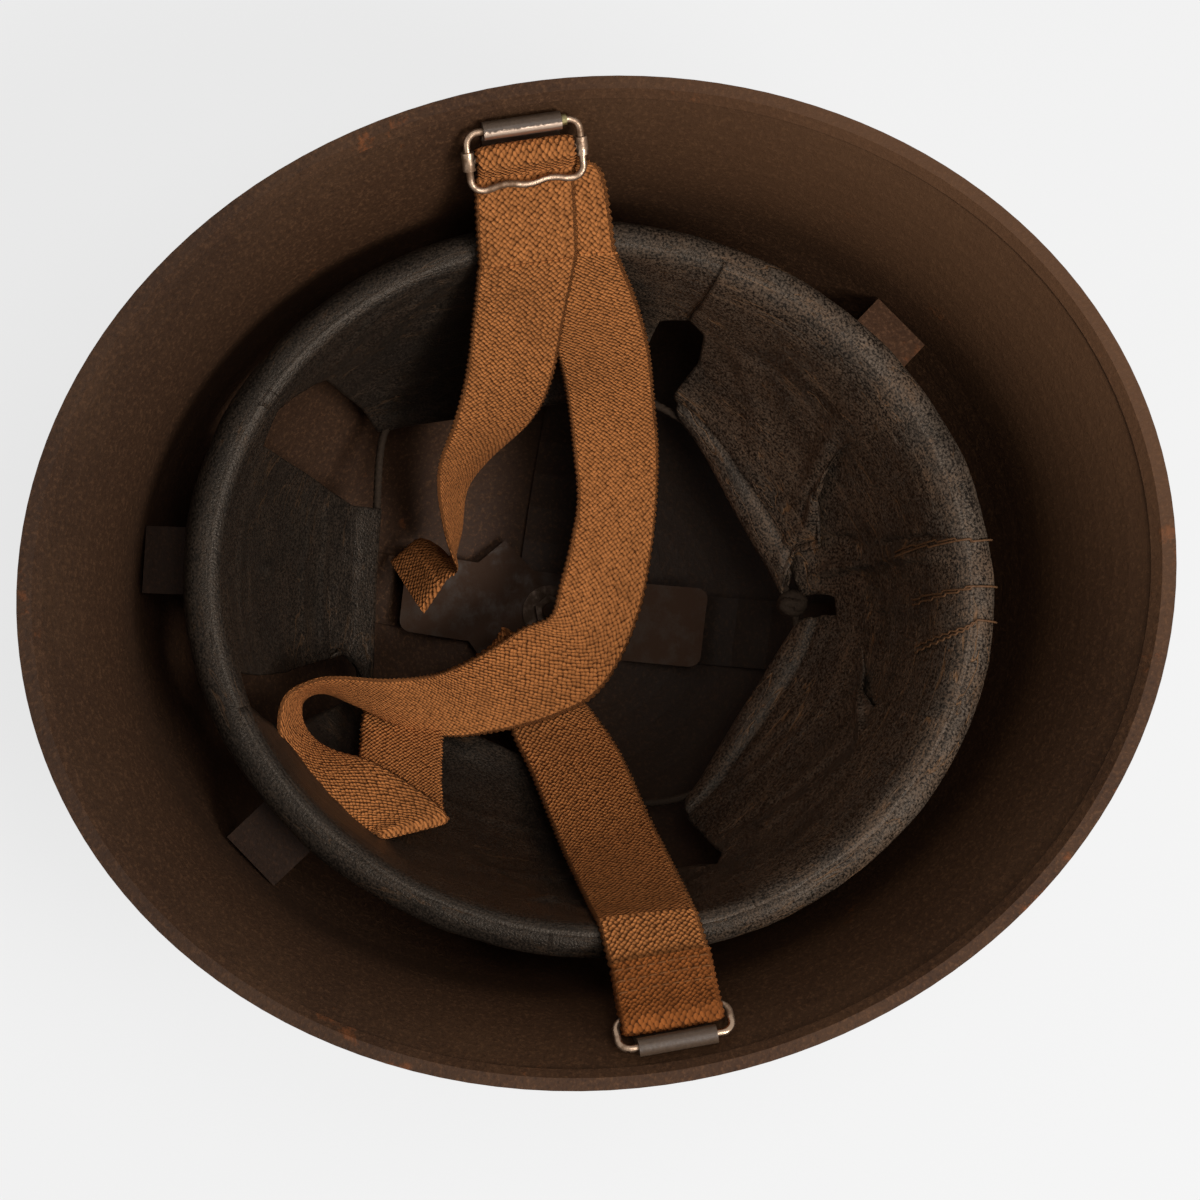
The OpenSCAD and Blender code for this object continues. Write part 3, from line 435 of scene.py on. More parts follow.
def leathercloth(name, scuffs, shine, gloss):
    """Grained black coating, worn towards the back of the helmet. scuffs is the share that is rubbed."""
    material, tree, shader, point = finish(name)
    cut = add(tree, "ShaderNodeUVMap", uv_map="cut").outputs[0]
    drawn = add(tree, "ShaderNodeVectorMath", {0: cut, 1: (0.2 * MM, MM, MM)}, operation="MULTIPLY").outputs[0]
    pebbles = add(tree, "ShaderNodeTexVoronoi", {"Vector": point, "Scale": 1900.0}, feature="SMOOTH_F1").outputs
    fine = noise_at(tree, point, 1500.0, 4.0, 0.6)
    ribs = noise_at(tree, drawn, 300.0, 4.0, 0.55)
    streaks = noise_at(tree, drawn, 190.0, 6.0, 0.75, 0.4)
    pale_streaks = between(tree, streaks, 0.54, 0.68)
    rear = between(tree, axes(tree, point)[1], -0.03, 0.09)
    speckle = between(tree, total(tree, product(tree, fine, 0.78), (streaks, 0.22)), 0.40, 0.62)
    cracks = product(tree, place(tree, creases, Vector=drawn, Scale=150.0, Width=0.013),
                     place(tree, patches, Vector=point, Scale=26.0, Amount=0.48, Softness=0.08),
                     total(tree, 0.15, (rear, 0.6)))
    worn = product(tree, place(tree, patches, Vector=point, Scale=34.0, Amount=0.85, Softness=0.2), speckle,
                   total(tree, 0.06, (rear, 0.85)), total(tree, 0.62, (pale_streaks, 0.38)))
    rubbed = product(tree, place(tree, patches, Vector=point, Scale=70.0, Amount=scuffs, Softness=0.07),
                     speckle, total(tree, 0.10, (rear, 0.7)))
    base = coats(
        tree, blend_colours(tree, speckle, (0.007, 0.0054, 0.0042), (0.019, 0.0138, 0.0100)),
        (worn, (0.165, 0.118, 0.084)),
        (product(tree, rubbed, total(tree, 0.4, (pale_streaks, 0.6))), (0.135, 0.070, 0.034)),
        (cracks, (0.19, 0.095, 0.042)))
    feed(tree, shader, {
        "Base Color": base, "Roughness": total(tree, shine, (fine, 0.2), (rubbed, 0.2)),
        "Specular IOR Level": gloss, "Specular Tint": (1.0, 0.82, 0.66, 1)})
    bumps = total(tree, product(tree, pebbles["Distance"], -0.30), (fine, 0.30), (ribs, 0.4), (cracks, -0.6))
    relief(tree, shader, bumps, 0.6, 0.0008)
    return material


roll_leather = leathercloth("leathercloth on the roll", 0.5, 0.20, 0.10)
tongue_leather = leathercloth("leathercloth of the tongues", 0.55, 0.26, 0.22)
print("two leathers")

# %% [markdown]
# ## The liner's roll
# The leathercloth is folded over the steel head band, which gives a lip as thick as a finger. It is a ring
# of round section on an oval, pulled uneven by the tongues below it, so its radius wanders by a few tenths
# of a millimetre.

# %% The leathercloth roll
ROLL_MID, ROLL_Z, ROLL_R = 88.0, 117.0, 4.6
OVAL, TURN = 1.107, math.radians(-16.5)


def on_oval(angle, reach, height):
    """Points at an angle round the liner, a reach from its middle and a height."""
    x, y = reach * np.cos(angle), OVAL * reach * np.sin(angle)
    return np.stack(np.broadcast_arrays(
        x * math.cos(TURN) - y * math.sin(TURN), x * math.sin(TURN) + y * math.cos(TURN), height), -1)


def lip_point(angle, round_roll, radius):
    """Points on the roll: the lean is 0 at its inner side and a quarter turn at its top."""
    return on_oval(angle, ROLL_MID - radius * np.cos(round_roll), ROLL_Z + radius * np.sin(round_roll))


def ride(piece, body, material, slot, *stands_for):
    """Gives a piece its body and its finish, and hides the CAD nodes that it stands for."""
    piece.data.materials.append(material)
    if stands_for:
        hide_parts(*stands_for)
    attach(piece, body)
    return piece


angle, lean_round = np.meshgrid(np.linspace(0, 2 * np.pi, 520, endpoint=False),
                                np.linspace(0, 2 * np.pi, 36, endpoint=False), indexing="ij")
bare = lip_point(angle, lean_round, ROLL_R)
swell = 0.30 * lumps(bare, 14, 1) + 0.14 * lumps(bare, 4.5, 2) - 0.15
lengths = np.stack([angle * 92, lean_round * ROLL_R], -1)
roll = skin("sweatband_roll_cover", lip_point(angle, lean_round, ROLL_R + swell), lengths, True, True)
ride(roll, "helmet", roll_leather, "leathercloth", "sweatband_roll")
print("roll swells by", swell.min().round(2), "to", swell.max().round(2), "mm")

# %% [markdown]
# ## The six tongues
# From the roll the leathercloth runs down into the bowl as one skirt, which is slit into six tongues. A
# drawstring in their hems pulls them together. Each tongue is a sheet: it leaves the roll in a slope, which
# is wide and flat at the back, and bends towards its hem. Its two edges are lines of depth and angle, read
# off the photograph. Where the skirt isn't slit yet, they run a little under the neighbour's edge. The
# straps press the slope flat.

# %% A tongue's sheet


def polar(angle, reach, height):
    """Points of the liner by plain angle in degrees, reach and height."""
    a = np.radians(angle) + TURN
    return np.stack(np.broadcast_arrays(reach * np.cos(a), reach * np.sin(a), height), -1)


TONGUES = {
    "tongue_left": dict(root=(166.5, 240), hem=((170, 60, 50), (234.5, 68.5, 50)), pull=0.72,
                        left=((0.46, 163.4), (0.55, 170.5), (1, 170)),
                        right=((0.05, 249), (0.16, 247.5), (0.42, 237.7), (0.83, 234.3))),
    "tongue_front": dict(root=(253, 292), hem=((250.3, 56, 49), (301, 57, 47)), pull=0.70,
                         left=((0.12, 246), (0.2, 253.8), (0.67, 252.3)),
                         right=((0.04, 299), (0.12, 290.7), (0.6, 293))),
    "tongue_right": dict(root=(303, 392), hem=((304.5, 55, 41.4), (388, 58, 42.4)), pull=0.80,
                         left=((0.04, 296), (0.3, 300), (0.6, 302)),
                         right=((0.46, 396), (0.54, 391.9), (0.61, 387.8))),
    "tongue_rear_right": dict(root=(396, 438), hem=((399.5, 62.5, 47), (452.5, 64, 48)), pull=0.75,
                              left=((0.5, 393.5), (0.58, 396.5), (0.78, 397)),
                              right=((0.42, 439), (0.5, 437), (0.6, 440.1), (0.7, 449), (0.81, 453.8))),
    "tongue_rear": dict(root=(440, 480), hem=((451, 64, 49), (461, 61, 50)), pull=0.75, ends=(0.83, 0.96),
                        left=((0.45, 436), (0.7, 441), (0.9, 449)),
                        right=((0.5, 487), (0.7, 482), (0.85, 472))),
    "tongue_rear_left": dict(root=(480, 522), hem=((460.6, 60, 50), (512.5, 60, 50)), pull=0.75,
                             left=((0.44, 485), (0.52, 484.5), (0.61, 481.2), (0.73, 476.1), (0.82, 467.3)),
                             right=((0.46, 525), (0.52, 520.8), (0.7, 518)))}
# Plain angles where a strap presses the slope flat, with half the width there
PRESSED = ((194, 15), (376, 12))
HEM, CLOTH = 1.4, 0.8
MOST_SHARE = 0.8


def slope_start(plain):
    """How the sheet leaves the roll at a plain angle: its lean in radians and the length of its flat start."""
    rear = np.cos(np.radians(plain - 97))
    lean, length = 50 + 11 * rear, 9.5 + 3.5 * rear
    for middle, wide in PRESSED:
        near = 1 - ease(np.abs((plain - middle + 180) % 360 - 180), wide - 2, wide + 9)
        lean, length = lean + (16 - lean) * near, length + (11 - length) * near
    return np.radians(lean), length


def tongue_sheet(root, hem, pull, left, right, ends=(1, 1), columns=90):
    """The sheet's points from the roll's top to the turn of the hem, with their depth and share across."""
    u = np.linspace(0, 1, columns)
    v = np.concatenate([np.linspace(-0.2, 0, 12)[:-1], np.linspace(0, 1, 84)])[:, None]
    v = v * (ends[0] + (ends[1] - ends[0]) * ease(u, 0.5, 0.7))
    t = np.clip(v, 0, 1)
    share = np.minimum(3 * t * t * (1 - t) * (1 - pull) + t ** 3, MOST_SHARE)
    plain = root[0] + (root[1] - root[0]) * u + 0 * t
    # Each edge is drawn to its own line, and the pull fades towards the middle
    for edge, start, last, side in ((left, root[0], hem[0][0], u), (right, root[1], hem[1][0], 1 - u)):
        wanted = np.interp(v, *np.array(edge).T)
        plain = plain + ((wanted - share * last) / (1 - share) - start) * np.clip(1 - side / 0.35, 0, 1) ** 2
    lean, length = slope_start(plain)
    angle = np.unwrap(np.arctan2(np.sin(np.radians(plain)) / OVAL, np.cos(np.radians(plain))), axis=1)
    low = polar(*hem[0]) * (1 - u)[:, None] + polar(*hem[1]) * u[:, None] + 0 * t[..., None]
    high = on_oval(angle, 84.3, 113.1)
    middle = high * pull + low * (1 - pull)
    middle[..., 2] = high[..., 2] * 0.28 + low[..., 2] * 0.72
    turn = lean + np.clip(-v / (0.2 * ends[0]), 0, 1) * (math.radians(84) - lean)
    start = lip_point(angle, turn, ROLL_R + 0.15 - 0.5 * ease(np.degrees(turn), 66, 84))
    drop = on_oval(angle, ROLL_MID - (ROLL_R + 0.15) * np.cos(lean) - length * np.sin(lean),
                   ROLL_Z + (ROLL_R + 0.15) * np.sin(lean) - length * np.cos(lean))
    t = t[..., None]
    curve = (1 - t) ** 3 * start + 3 * t * (1 - t) ** 2 * drop + 3 * t * t * (1 - t) * middle + t ** 3 * low
    return curve, v, u


def turned_hem(sheet, up):
    """Rows that carry the sheet round the string and back under itself."""
    ahead = unit(sheet[-1] - sheet[-3])
    rows = [sheet[-1] - HEM * up[-1] + HEM * (up[-1] * math.cos(a) + ahead * math.sin(a))
            for a in np.radians(np.linspace(20, 180, 9))]
    back = [rows[-1] - ahead * k for k in (1.5, 3.0, 4.5)]
    return np.stack(rows + back)


print(len(TONGUES), "tongues, hems", HEM, "mm round the string")

# %% [markdown]
# ### Folds
# The string gathers the hems unevenly, and years of use have set folds in the cloth. A fold is a soft ridge
# along a line on the sheet: it lifts the points near the line. Each tongue gets those that the photograph
# shows, as two ends in shares of the width and depth, a width and a height in millimetres. The rear hems
# stand up as a rounded band.

# %% Folds on the tongues
FOLDS = {
    "tongue_left": [((0.97, 0.40), (0.72, 0.02), 2.2, 1.3), ((0.90, 0.50), (0.60, 0.05), 2.2, 1.2),
                    ((0.80, 0.55), (0.50, 0.10), 2.5, -1.0), ((0.35, 0.0), (0.45, 0.8), 4.0, 1.0),
                    ((0.1, 0.80), (0.9, 0.80), 1.2, 0.4), ((0.1, 0.70), (0.9, 0.71), 1.2, 0.35)],
    "tongue_front": [((0.46, 0.50), (0.54, 0.52), 4.0, 1.6), ((0.05, 0.72), (0.95, 0.74), 1.2, 0.5),
                     ((0.05, 0.80), (0.95, 0.83), 1.0, 0.4), ((0.2, 0.25), (0.9, 0.32), 2.0, 0.5)],
    "tongue_right": [((0.98, 0.45), (0.55, 0.25), 2.0, 0.9), ((0.90, 0.62), (0.45, 0.45), 2.2, 0.9),
                     ((0.8, 0.1), (0.4, 0.6), 3.0, 0.8), ((0.1, 0.75), (0.9, 0.78), 1.2, 0.4)],
    "tongue_rear_right": [((0.02, 0.74), (0.75, 0.50), 1.6, -1.0), ((0.05, 0.62), (0.80, 0.40), 2.6, 0.9),
                          ((0.05, 0.88), (0.92, 0.72), 1.1, 0.6), ((0.1, 0.96), (0.8, 0.80), 1.0, 0.5),
                          ((0.75, 0.45), (0.98, 0.62), 2.0, 1.3)],
    "tongue_rear": [((0.95, 0.92), (0.72, 0.65), 1.1, -1.3), ((0.72, 0.65), (0.62, 0.10), 1.1, -0.9),
                    ((0.80, 0.95), (0.64, 0.65), 2.4, 1.8), ((0.64, 0.65), (0.55, 0.12), 2.4, 1.2),
                    ((0.40, 0.9), (0.30, 0.2), 1.2, 0.5), ((0.25, 0.8), (0.18, 0.3), 1.2, 0.5)],
    "tongue_rear_left": [((0.03, 0.70), (0.05, 0.96), 1.2, -1.8), ((0.10, 0.66), (0.12, 0.96), 1.6, 1.0),
                         ((0.02, 0.52), (0.06, 0.80), 1.4, 0.8), ((0.30, 0.35), (0.18, 0.9), 3.0, 0.7),
                         ((0.9, 0.45), (0.5, 0.85), 4.0, 0.7)]}


def fold_heights(lines, width, depth, u, v):
    """Height of all folds over the sheet, in millimetres."""
    x, y = np.meshgrid(u * width, np.clip(v, 0, 1) * depth)
    total = np.zeros_like(x)
    for (u0, v0), (u1, v1), spread, height in lines:
        a, b = np.array([u0 * width, v0 * depth]), np.array([u1 * width, v1 * depth])
        t = ((x - a[0]) * (b - a)[0] + (y - a[1]) * (b - a)[1]) / ((b - a) @ (b - a))
        off = np.hypot(x - a[0] - np.clip(t, 0, 1) * (b - a)[0], y - a[1] - np.clip(t, 0, 1) * (b - a)[1])
        total += height * np.exp(-(off / spread) ** 2) * ease(t, -0.1, 0.3) * ease(1.1 - t, 0, 0.4)
    return total


hem_lines, sheets = {}, {}
for name, cut in TONGUES.items():
    sheet, v, u = tongue_sheet(**cut)
    up = grid_normals(sheet)
    if up[-20:, :, 2].mean() < 0:
        up = -up
    width = np.linalg.norm(np.diff(sheet[45], axis=0), axis=1).sum()
    depth = np.linalg.norm(np.diff(sheet[11:, 45], axis=0), axis=1).sum()
    share = v / v[-1]
    to_hem = (1 - share) * depth
    lift = fold_heights(FOLDS[name], width, depth, u, share[:, 0])
    lift += 0.45 * lumps(sheet, 11, 3) + 0.16 * lumps(sheet, 3.6, 4)
    band = np.sqrt(np.clip(1 - ((to_hem - 2.6) / 3.0) ** 2, 0, 1)) - 0.3 * np.exp(-((to_hem - 6.4) / 0.8) ** 2)
    lift += band * (1.3 if "rear_" in name else 0.25)
    lift *= ease(v, 0.0, 0.25)
    free = ease(v, 0.45, 0.6) * ease(np.abs(u - 0.5), 0.36, 0.5)
    lift += free * (-1.8 if name == "tongue_rear" else 0.5)
    sheet = sheet + up * lift[..., None]
    hem_lines[name] = sheet[-1] - HEM * up[-1]
    sheets[name] = sheet, up
    whole = np.concatenate([sheet, turned_hem(sheet, up)])
    down = np.concatenate([share * depth, depth + 0.5 * np.arange(1, len(whole) - len(v) + 1)[:, None] + 0 * u])
    lengths = np.stack(np.broadcast_arrays(u * width + 200 * len(hem_lines), down), -1)
    piece = skin(name + "_cloth", whole, lengths)
    thick = piece.modifiers.new("thickness", "SOLIDIFY")
    thick.thickness = CLOTH * MM
    thick.offset = -1 if piece.data.polygons[len(piece.data.polygons) // 2].normal.z > 0 else 1
    ride(piece, "helmet", tongue_leather, "leathercloth", name)

# %% [markdown]
# ## The drawstring
# A thin braided cord runs through the hems and shows only in the gaps between the tongues. It is one tube
# along the middle of the turned hems, from one side of the knot to the other. The knot is cord wound into a
# small ball.

# %% The drawstring and its knot
STATION_STEPS = 24


def smooth_route(points, steps):
    """A curve through the stations, with the same rule as the CAD model uses."""
    p = np.asarray(points, float)
    p = np.concatenate([p[:1], p, p[-1:]])
    t = (np.arange(steps) / steps)[:, None]
    a, b, c, d = (p[k:len(p) - 3 + k, None] for k in range(4))
    run = 0.5 * (2 * b + (c - a) * t + (2 * a - 5 * b + 4 * c - d) * t ** 2 + (3 * b - a - 3 * c + d) * t ** 3)
    return np.concatenate([run.reshape(-1, 3), p[-2:-1]])


def distances(line):
    """How far along a line each of its points is."""
    return np.concatenate([[0], np.cumsum(np.linalg.norm(np.diff(line, axis=0), axis=1))])


def even_steps(line, step):
    """Points at equal distances along a line."""
    far = distances(line)
    at = np.linspace(0, far[-1], max(3, int(far[-1] / step) + 1))
    return np.stack([np.interp(at, far, line[:, k]) for k in range(3)], 1)


def tube(name, line, radius, sides=12, twist=0.0, bulge=0.0):
    """A tube along a line. twist and bulge give it the strands of a cord."""
    ahead = unit(np.gradient(line, axis=0))
    side = unit(np.cross(ahead, [0.1, 0.2, 1.0]))
    up = np.cross(side, ahead)
    far = distances(line)[:, None]
    a = np.linspace(0, 2 * np.pi, sides, endpoint=False)[None]
    r = radius + bulge * np.abs(np.sin(1.5 * a + far * twist)) - bulge / 2
    outward = np.cos(a)[..., None] * side[:, None] + np.sin(a)[..., None] * up[:, None]
    lengths = np.stack(np.broadcast_arrays(a * radius, far), -1)
    return skin(name, line[:, None] + r[..., None] * outward, lengths, round_columns=True)


KNOT = polar(97, 61.6, 50.0)
stations = [KNOT + unit(hem_lines["tongue_rear_left"][3] - KNOT) * 2.2]
for name in ("tongue_rear_left", "tongue_left", "tongue_front", "tongue_right", "tongue_rear_right"):
    stations += [hem_lines[name][k] for k in (4, 25, 45, 65, 85)]
stations.append(KNOT + unit(hem_lines["tongue_rear_right"][86] - KNOT) * 2.2)
string_line = even_steps(smooth_route(stations, 12), 0.7)

cord_black, tree, shader, point = finish("braided cord")
strands = noise_at(tree, point, 1600.0, 3.0)
feed(tree, shader, {
    "Base Color": blend_colours(tree, strands, (0.010, 0.0065, 0.0042), (0.042, 0.026, 0.016)),
    "Roughness": 0.8, "Specular IOR Level": 0.1})
relief(tree, shader, strands, 0.6, 0.0003)

ride(tube("drawstring_cord", string_line, 1.0, 12, 3.0, 0.3), "helmet", cord_black, "cord", "drawstring")
turns = np.linspace(0, 8 * np.pi, 220)
wound = KNOT + np.stack([2.3 * np.cos(turns) * np.sin(turns * 0.37 + 0.4), 2.6 * np.sin(turns),
                         2.0 * np.cos(turns * 0.37 + 0.4)], -1)
ride(tube("drawstring_knot_cord", wound, 1.5, 10, 3.0, 0.3), "helmet", cord_black, "cord", "drawstring_knot")
print("drawstring", round(distances(string_line)[-1]), "mm long")

# %% [markdown]
# ## Stitches over the rear of the roll
# At the back the ends of the leathercloth meet and are held by three long stitches of brown waxed thread
# over the roll. Each is two thin cords that follow the roll and the middle rear tongue a little above the
# leathercloth.

# %% The rear seam
waxed_thread, tree, shader, point = finish("waxed thread")
fibres = noise_at(tree, point, 1800.0, 2.0)
feed(tree, shader, {
    "Base Color": blend_colours(tree, fibres, (0.05, 0.022, 0.009), (0.17, 0.080, 0.034)),
    "Roughness": 0.6, "Specular IOR Level": 0.2})

rear_sheet, rear_up = sheets["tongue_rear"]
for bar, (first, last, rows) in enumerate(((0.60, 0.62, 52), (0.43, 0.37, 50), (0.30, 0.18, 44))):
    for strand in (0, 1):
        column = np.linspace(89 * first, 89 * last + 2.2 * strand, rows).round().astype(int)
        flat = rear_sheet[np.arange(rows), column] + 0.45 * rear_up[np.arange(rows), column]
        top = flat[0]
        x = top[0] * math.cos(TURN) + top[1] * math.sin(TURN)
        y = top[1] * math.cos(TURN) - top[0] * math.sin(TURN)
        over = np.radians(np.linspace(168, 86, 20))
        outside = lip_point(np.full(20, math.atan2(y / OVAL, x)), over, ROLL_R + 0.5)
        line = even_steps(np.concatenate([outside, flat[2:]]), 0.5)
        thread = tube(f"rear_seam_thread_{bar}{strand}", line, 0.26, 8, 5.0, 0.08)
        ride(thread, "helmet", waxed_thread, "thread", "rear_seam")
print("three bars of two threads")

# %% [markdown]
# ## The webbing
# The chinstrap is one-inch cotton webbing. It has no stretch and keeps its width, so it is a ribbon between
# two edge lines, which stay within a few millimetres of the CAD model's. Its body is 1.6 mm thick with
# round edges, and the edges are slightly scalloped where the weft turns back.

# %% Routes of the webbing
HALF, FOLD_HALF, THICK, SEAT = 12.7, 12.35, 1.6, 0.3
LEFT_SLOPE, RIGHT_SLOPE = math.radians(25), math.radians(36)


def at_left(p, slope=LEFT_SLOPE):
    """A point by its distance inward, along the hinge line and above the buckle's wire."""
    return [-LUG_X + p[0] * math.cos(slope) + p[2] * math.sin(slope), LUG_Y + p[1],
            LUG_Z - p[0] * math.sin(slope) + p[2] * math.cos(slope)]


def at_right(p, slope=RIGHT_SLOPE):
    """The same at the plain loop."""
    return [LUG_X - p[0] * math.cos(slope) - p[2] * math.sin(slope), LUG_Y + p[1],
            LUG_Z - p[0] * math.sin(slope) + p[2] * math.cos(slope)]


def over_roll(side, y, lean, below):
    """A point of the webbing over the roll, with other webbing below it or not."""
    k, c, s = 1 / OVAL ** 2, math.cos(TURN), math.sin(TURN)
    a = c * c + k * s * s
    b = y * c * s * (1 - k)
    d = y * y * (s * s + k * c * c) - ROLL_MID ** 2
    x = (side * math.sqrt(b * b - a * d) - b) / a
    off = ROLL_R + SEAT + THICK / 2 + below * (THICK + SEAT)
    lean = math.radians(lean)
    return [x - side * off * math.cos(lean) * 1.03, y, ROLL_Z + off * math.sin(lean)]


def pair(function, along, rise, half, shift=0.0):
    """The two edges of the webbing at one station of a fold."""
    return [function([along, half + shift, rise]), function([along, shift - half, rise])]


SLIDE, PLAIN, SEWN = 7.0, 8.5, 15.5
SLANT = 0.055
left_fold = [pair(at_left, SLIDE + a, z, FOLD_HALF, s) for a, z, s in (
    (5.4, -2.3, 0), (4.4, -1.8, 0), (3, -0.1, 0), (1.8, 1.4, 0), (0.3, 2.1, 0), (-1.6, 1.7, 0), (-2.6, 0.2, 0),
    (-1.7, -1.5, 0), (0.3, -2.1, 0), (3, -3.3, 1.6), (5.4, -4.2, 3.2))]
right_fold = [pair(at_right, a, z, HALF, SLANT * max(a - PLAIN, 0)) for a, z in (
    (24, 0.86), (17.5, 0.86), (12.5, 1.15), (8.5, 1.9), (6.5, 1.95), (4.8, 1), (4.8, -1), (6.5, -1.95),
    (8.5, -1.9), (12.5, -1.15), (17.5, -0.86), (24, -0.86))]
long_run = [
    pair(at_left, SLIDE + 5.3, -4.3, HALF, 3.4), [[-99.3, 18.2, 131.9], [-99.3, -7.1, 131.9]],
    [over_roll(-1, 19.4, 56, 0), over_roll(-1, -6.1, 56, 0)],
    [over_roll(-1, 20, 38, 0), over_roll(-1, -5.5, 38, 0)],
    [[-71.5, 25, 104], [-71, -0.5, 106]], [[-61, 29, 85], [-62, 4, 91]], [[-49, 31, 65], [-51, 7, 71]],
    [[-37, 32, 50], [-40, 8, 58]], [[-24, 31, 38], [-27, 8, 48]], [[-10, 28, 30], [-16, 5, 40]],
    [[4, 23, 27], [-6, 1, 35]], [[17, 15, 27], [2, -3, 35]], [[26, 5, 34], [4, -11, 36]],
    [[30, -9, 40], [9, -23, 40]], [[31, -23, 44], [12.5, -34, 52]], [[30.5, -36, 51], [13.5, -42.5, 66]],
    [[26.5, -48.5, 60], [13, -53, 79]], [[19, -60, 69], [11, -64.5, 91]], [[14, -68.5, 75], [11, -72, 98]],
    [[15, -74.3, 79], [14, -79.8, 102]], [[20, -75.5, 80], [22, -83, 103]], [[25, -73.5, 82], [30.5, -82, 103]],
    [[29, -69, 85], [37.5, -78, 104]], [[34, -59.5, 89], [45, -72, 104]], [[44, -48.5, 93], [50.7, -67, 104]],
    [[50, -44, 95.5], [51.9, -63.4, 104.8]], [[51.8, -43.8, 94.2], [53, -62.8, 103.2]],
    [[50.6, -44.1, 90.8], [52, -63.9, 100.4]], [[44, -43, 79], [43.3, -65, 91]],
    [[34, -40, 63], [29.5, -62, 74]], [[25.5, -36.5, 48.5], [17, -57, 57]],
    [[30, -28.5, 39.2], [13.5, -47, 46]], [[30.5, -15, 29.4], [12, -33, 34.6]],
    [[28.5, -4, 25.5], [7.5, -20.5, 28]], [[25, 0.5, 26.2], [2.8, -15.6, 29.4]],
    [[25.5, 1.5, 28.2], [6, -15.5, 31.4]], [[27, 3, 31], [14, -18, 33.5]],
    [[31, 5, 34.5], [29, -19.5, 38.5]], [[42, 8.5, 46.5], [43.5, -17, 51]],
    [[60.5, 10.5, 71], [63.5, -15, 76.5]], [[77, 11.5, 105], [77.5, -14, 106]],
    [over_roll(1, 11.5, 24, 0), over_roll(1, -13.9, 24, 0)],
    [over_roll(1, 11.8, 50, 0), over_roll(1, -13.6, 50, 0)],
    pair(at_right, PLAIN + SEWN + 0.3, -0.86, HALF, SLANT * SEWN)]
tail_run = [
    pair(at_left, SLIDE + 5.3, -2.4, HALF), [[-98.5, 10.4, 134.0], [-98.5, -15.0, 134.0]],
    [over_roll(-1, 9.6, 55, 1.3), over_roll(-1, -15.8, 55, 1.3)],
    [over_roll(-1, 9.2, 41, 1.3), over_roll(-1, -16.2, 41, 1.3)],
    [[-70.5, 6, 109], [-72.5, -18, 111]], [[-56, 2, 89], [-59.5, -21, 97]], [[-48, -3, 72], [-49, -25, 85]],
    [[-41, -14, 53], [-41, -29, 73]], [[-35, -20, 41], [-34, -30, 64]], [[-24, -23, 31], [-23, -29, 54]],
    [[-18.5, -26.5, 25], [-15, -27, 49]], [[-23, -29.5, 21.5], [-13, -27, 44]],
    [[-25.4, -33.6, 21.2], [-11.8, -29.5, 41]], [[-23, -38, 21.2], [-7.8, -33.4, 40]],
    [[-20.5, -42.3, 21.2], [-3.8, -37, 39]]]
print(len(long_run), "stations on the long run")

# %% A ribbon with round edges
RING, SCALLOP, HEM_RISE = 0.475, 1.9, 0.75
# The back of the webbing has its own place in the UVs, so its grains differ
BACK_UV = 30


def ribbon(name, route, hem=0.0, first=0, last=None):
    """Webbing between two edge lines, cut from one station to another, and perhaps with a rolled hem."""
    route = np.asarray(route, float)
    one, two = smooth_route(route[:, 0], STATION_STEPS), smooth_route(route[:, 1], STATION_STEPS)
    far = distances((one + two) / 2)
    at = np.arange(0, far[-1], RING)
    last = last or len(route) - 1
    cut = (at >= far[STATION_STEPS * first] - RING) & (at <= far[STATION_STEPS * last])
    one, two = (np.stack([np.interp(at, far, line[:, k]) for k in range(3)], 1) for line in (one, two))
    middle, half = (one + two) / 2, (one - two) / 2
    wide = np.linalg.norm(half, axis=1)
    across, ahead = unit(half), unit(np.gradient(middle, axis=0))
    up = unit(np.cross(across, ahead))
    body = THICK / 2 + HEM_RISE * ease(at, at[-1] - hem - 0.4, at[-1] - hem) * (hem > 0)
    scallop = 0.26 * np.cos(2 * np.pi * at / SCALLOP) + 0.12 * lumps(middle, 1.1, 5)
    # Once round the section: over the top from one edge to the other, and back below
    x = 1 - 2 * np.concatenate([np.linspace(0, 1, 25), np.linspace(1, 0, 25)[1:-1]])
    top = np.concatenate([np.ones(25), -np.ones(23)])
    rise = top * np.sqrt(np.maximum(0, 1 - np.abs(x) ** 5))
    outward = x * wide[:, None] + np.sign(x) * np.abs(x) ** 8 * scallop[:, None]
    section = (middle[:, None] + across[:, None] * outward[..., None]
               + up[:, None] * (rise[None] * body[:, None])[..., None])
    lengths = np.stack(np.broadcast_arrays((x * HALF)[None] + BACK_UV * (top < 0)[None], at[:, None]), -1)
    return skin(name, section[cut], lengths[cut], round_columns=True), at[-1]


print("a ring every", RING, "mm")
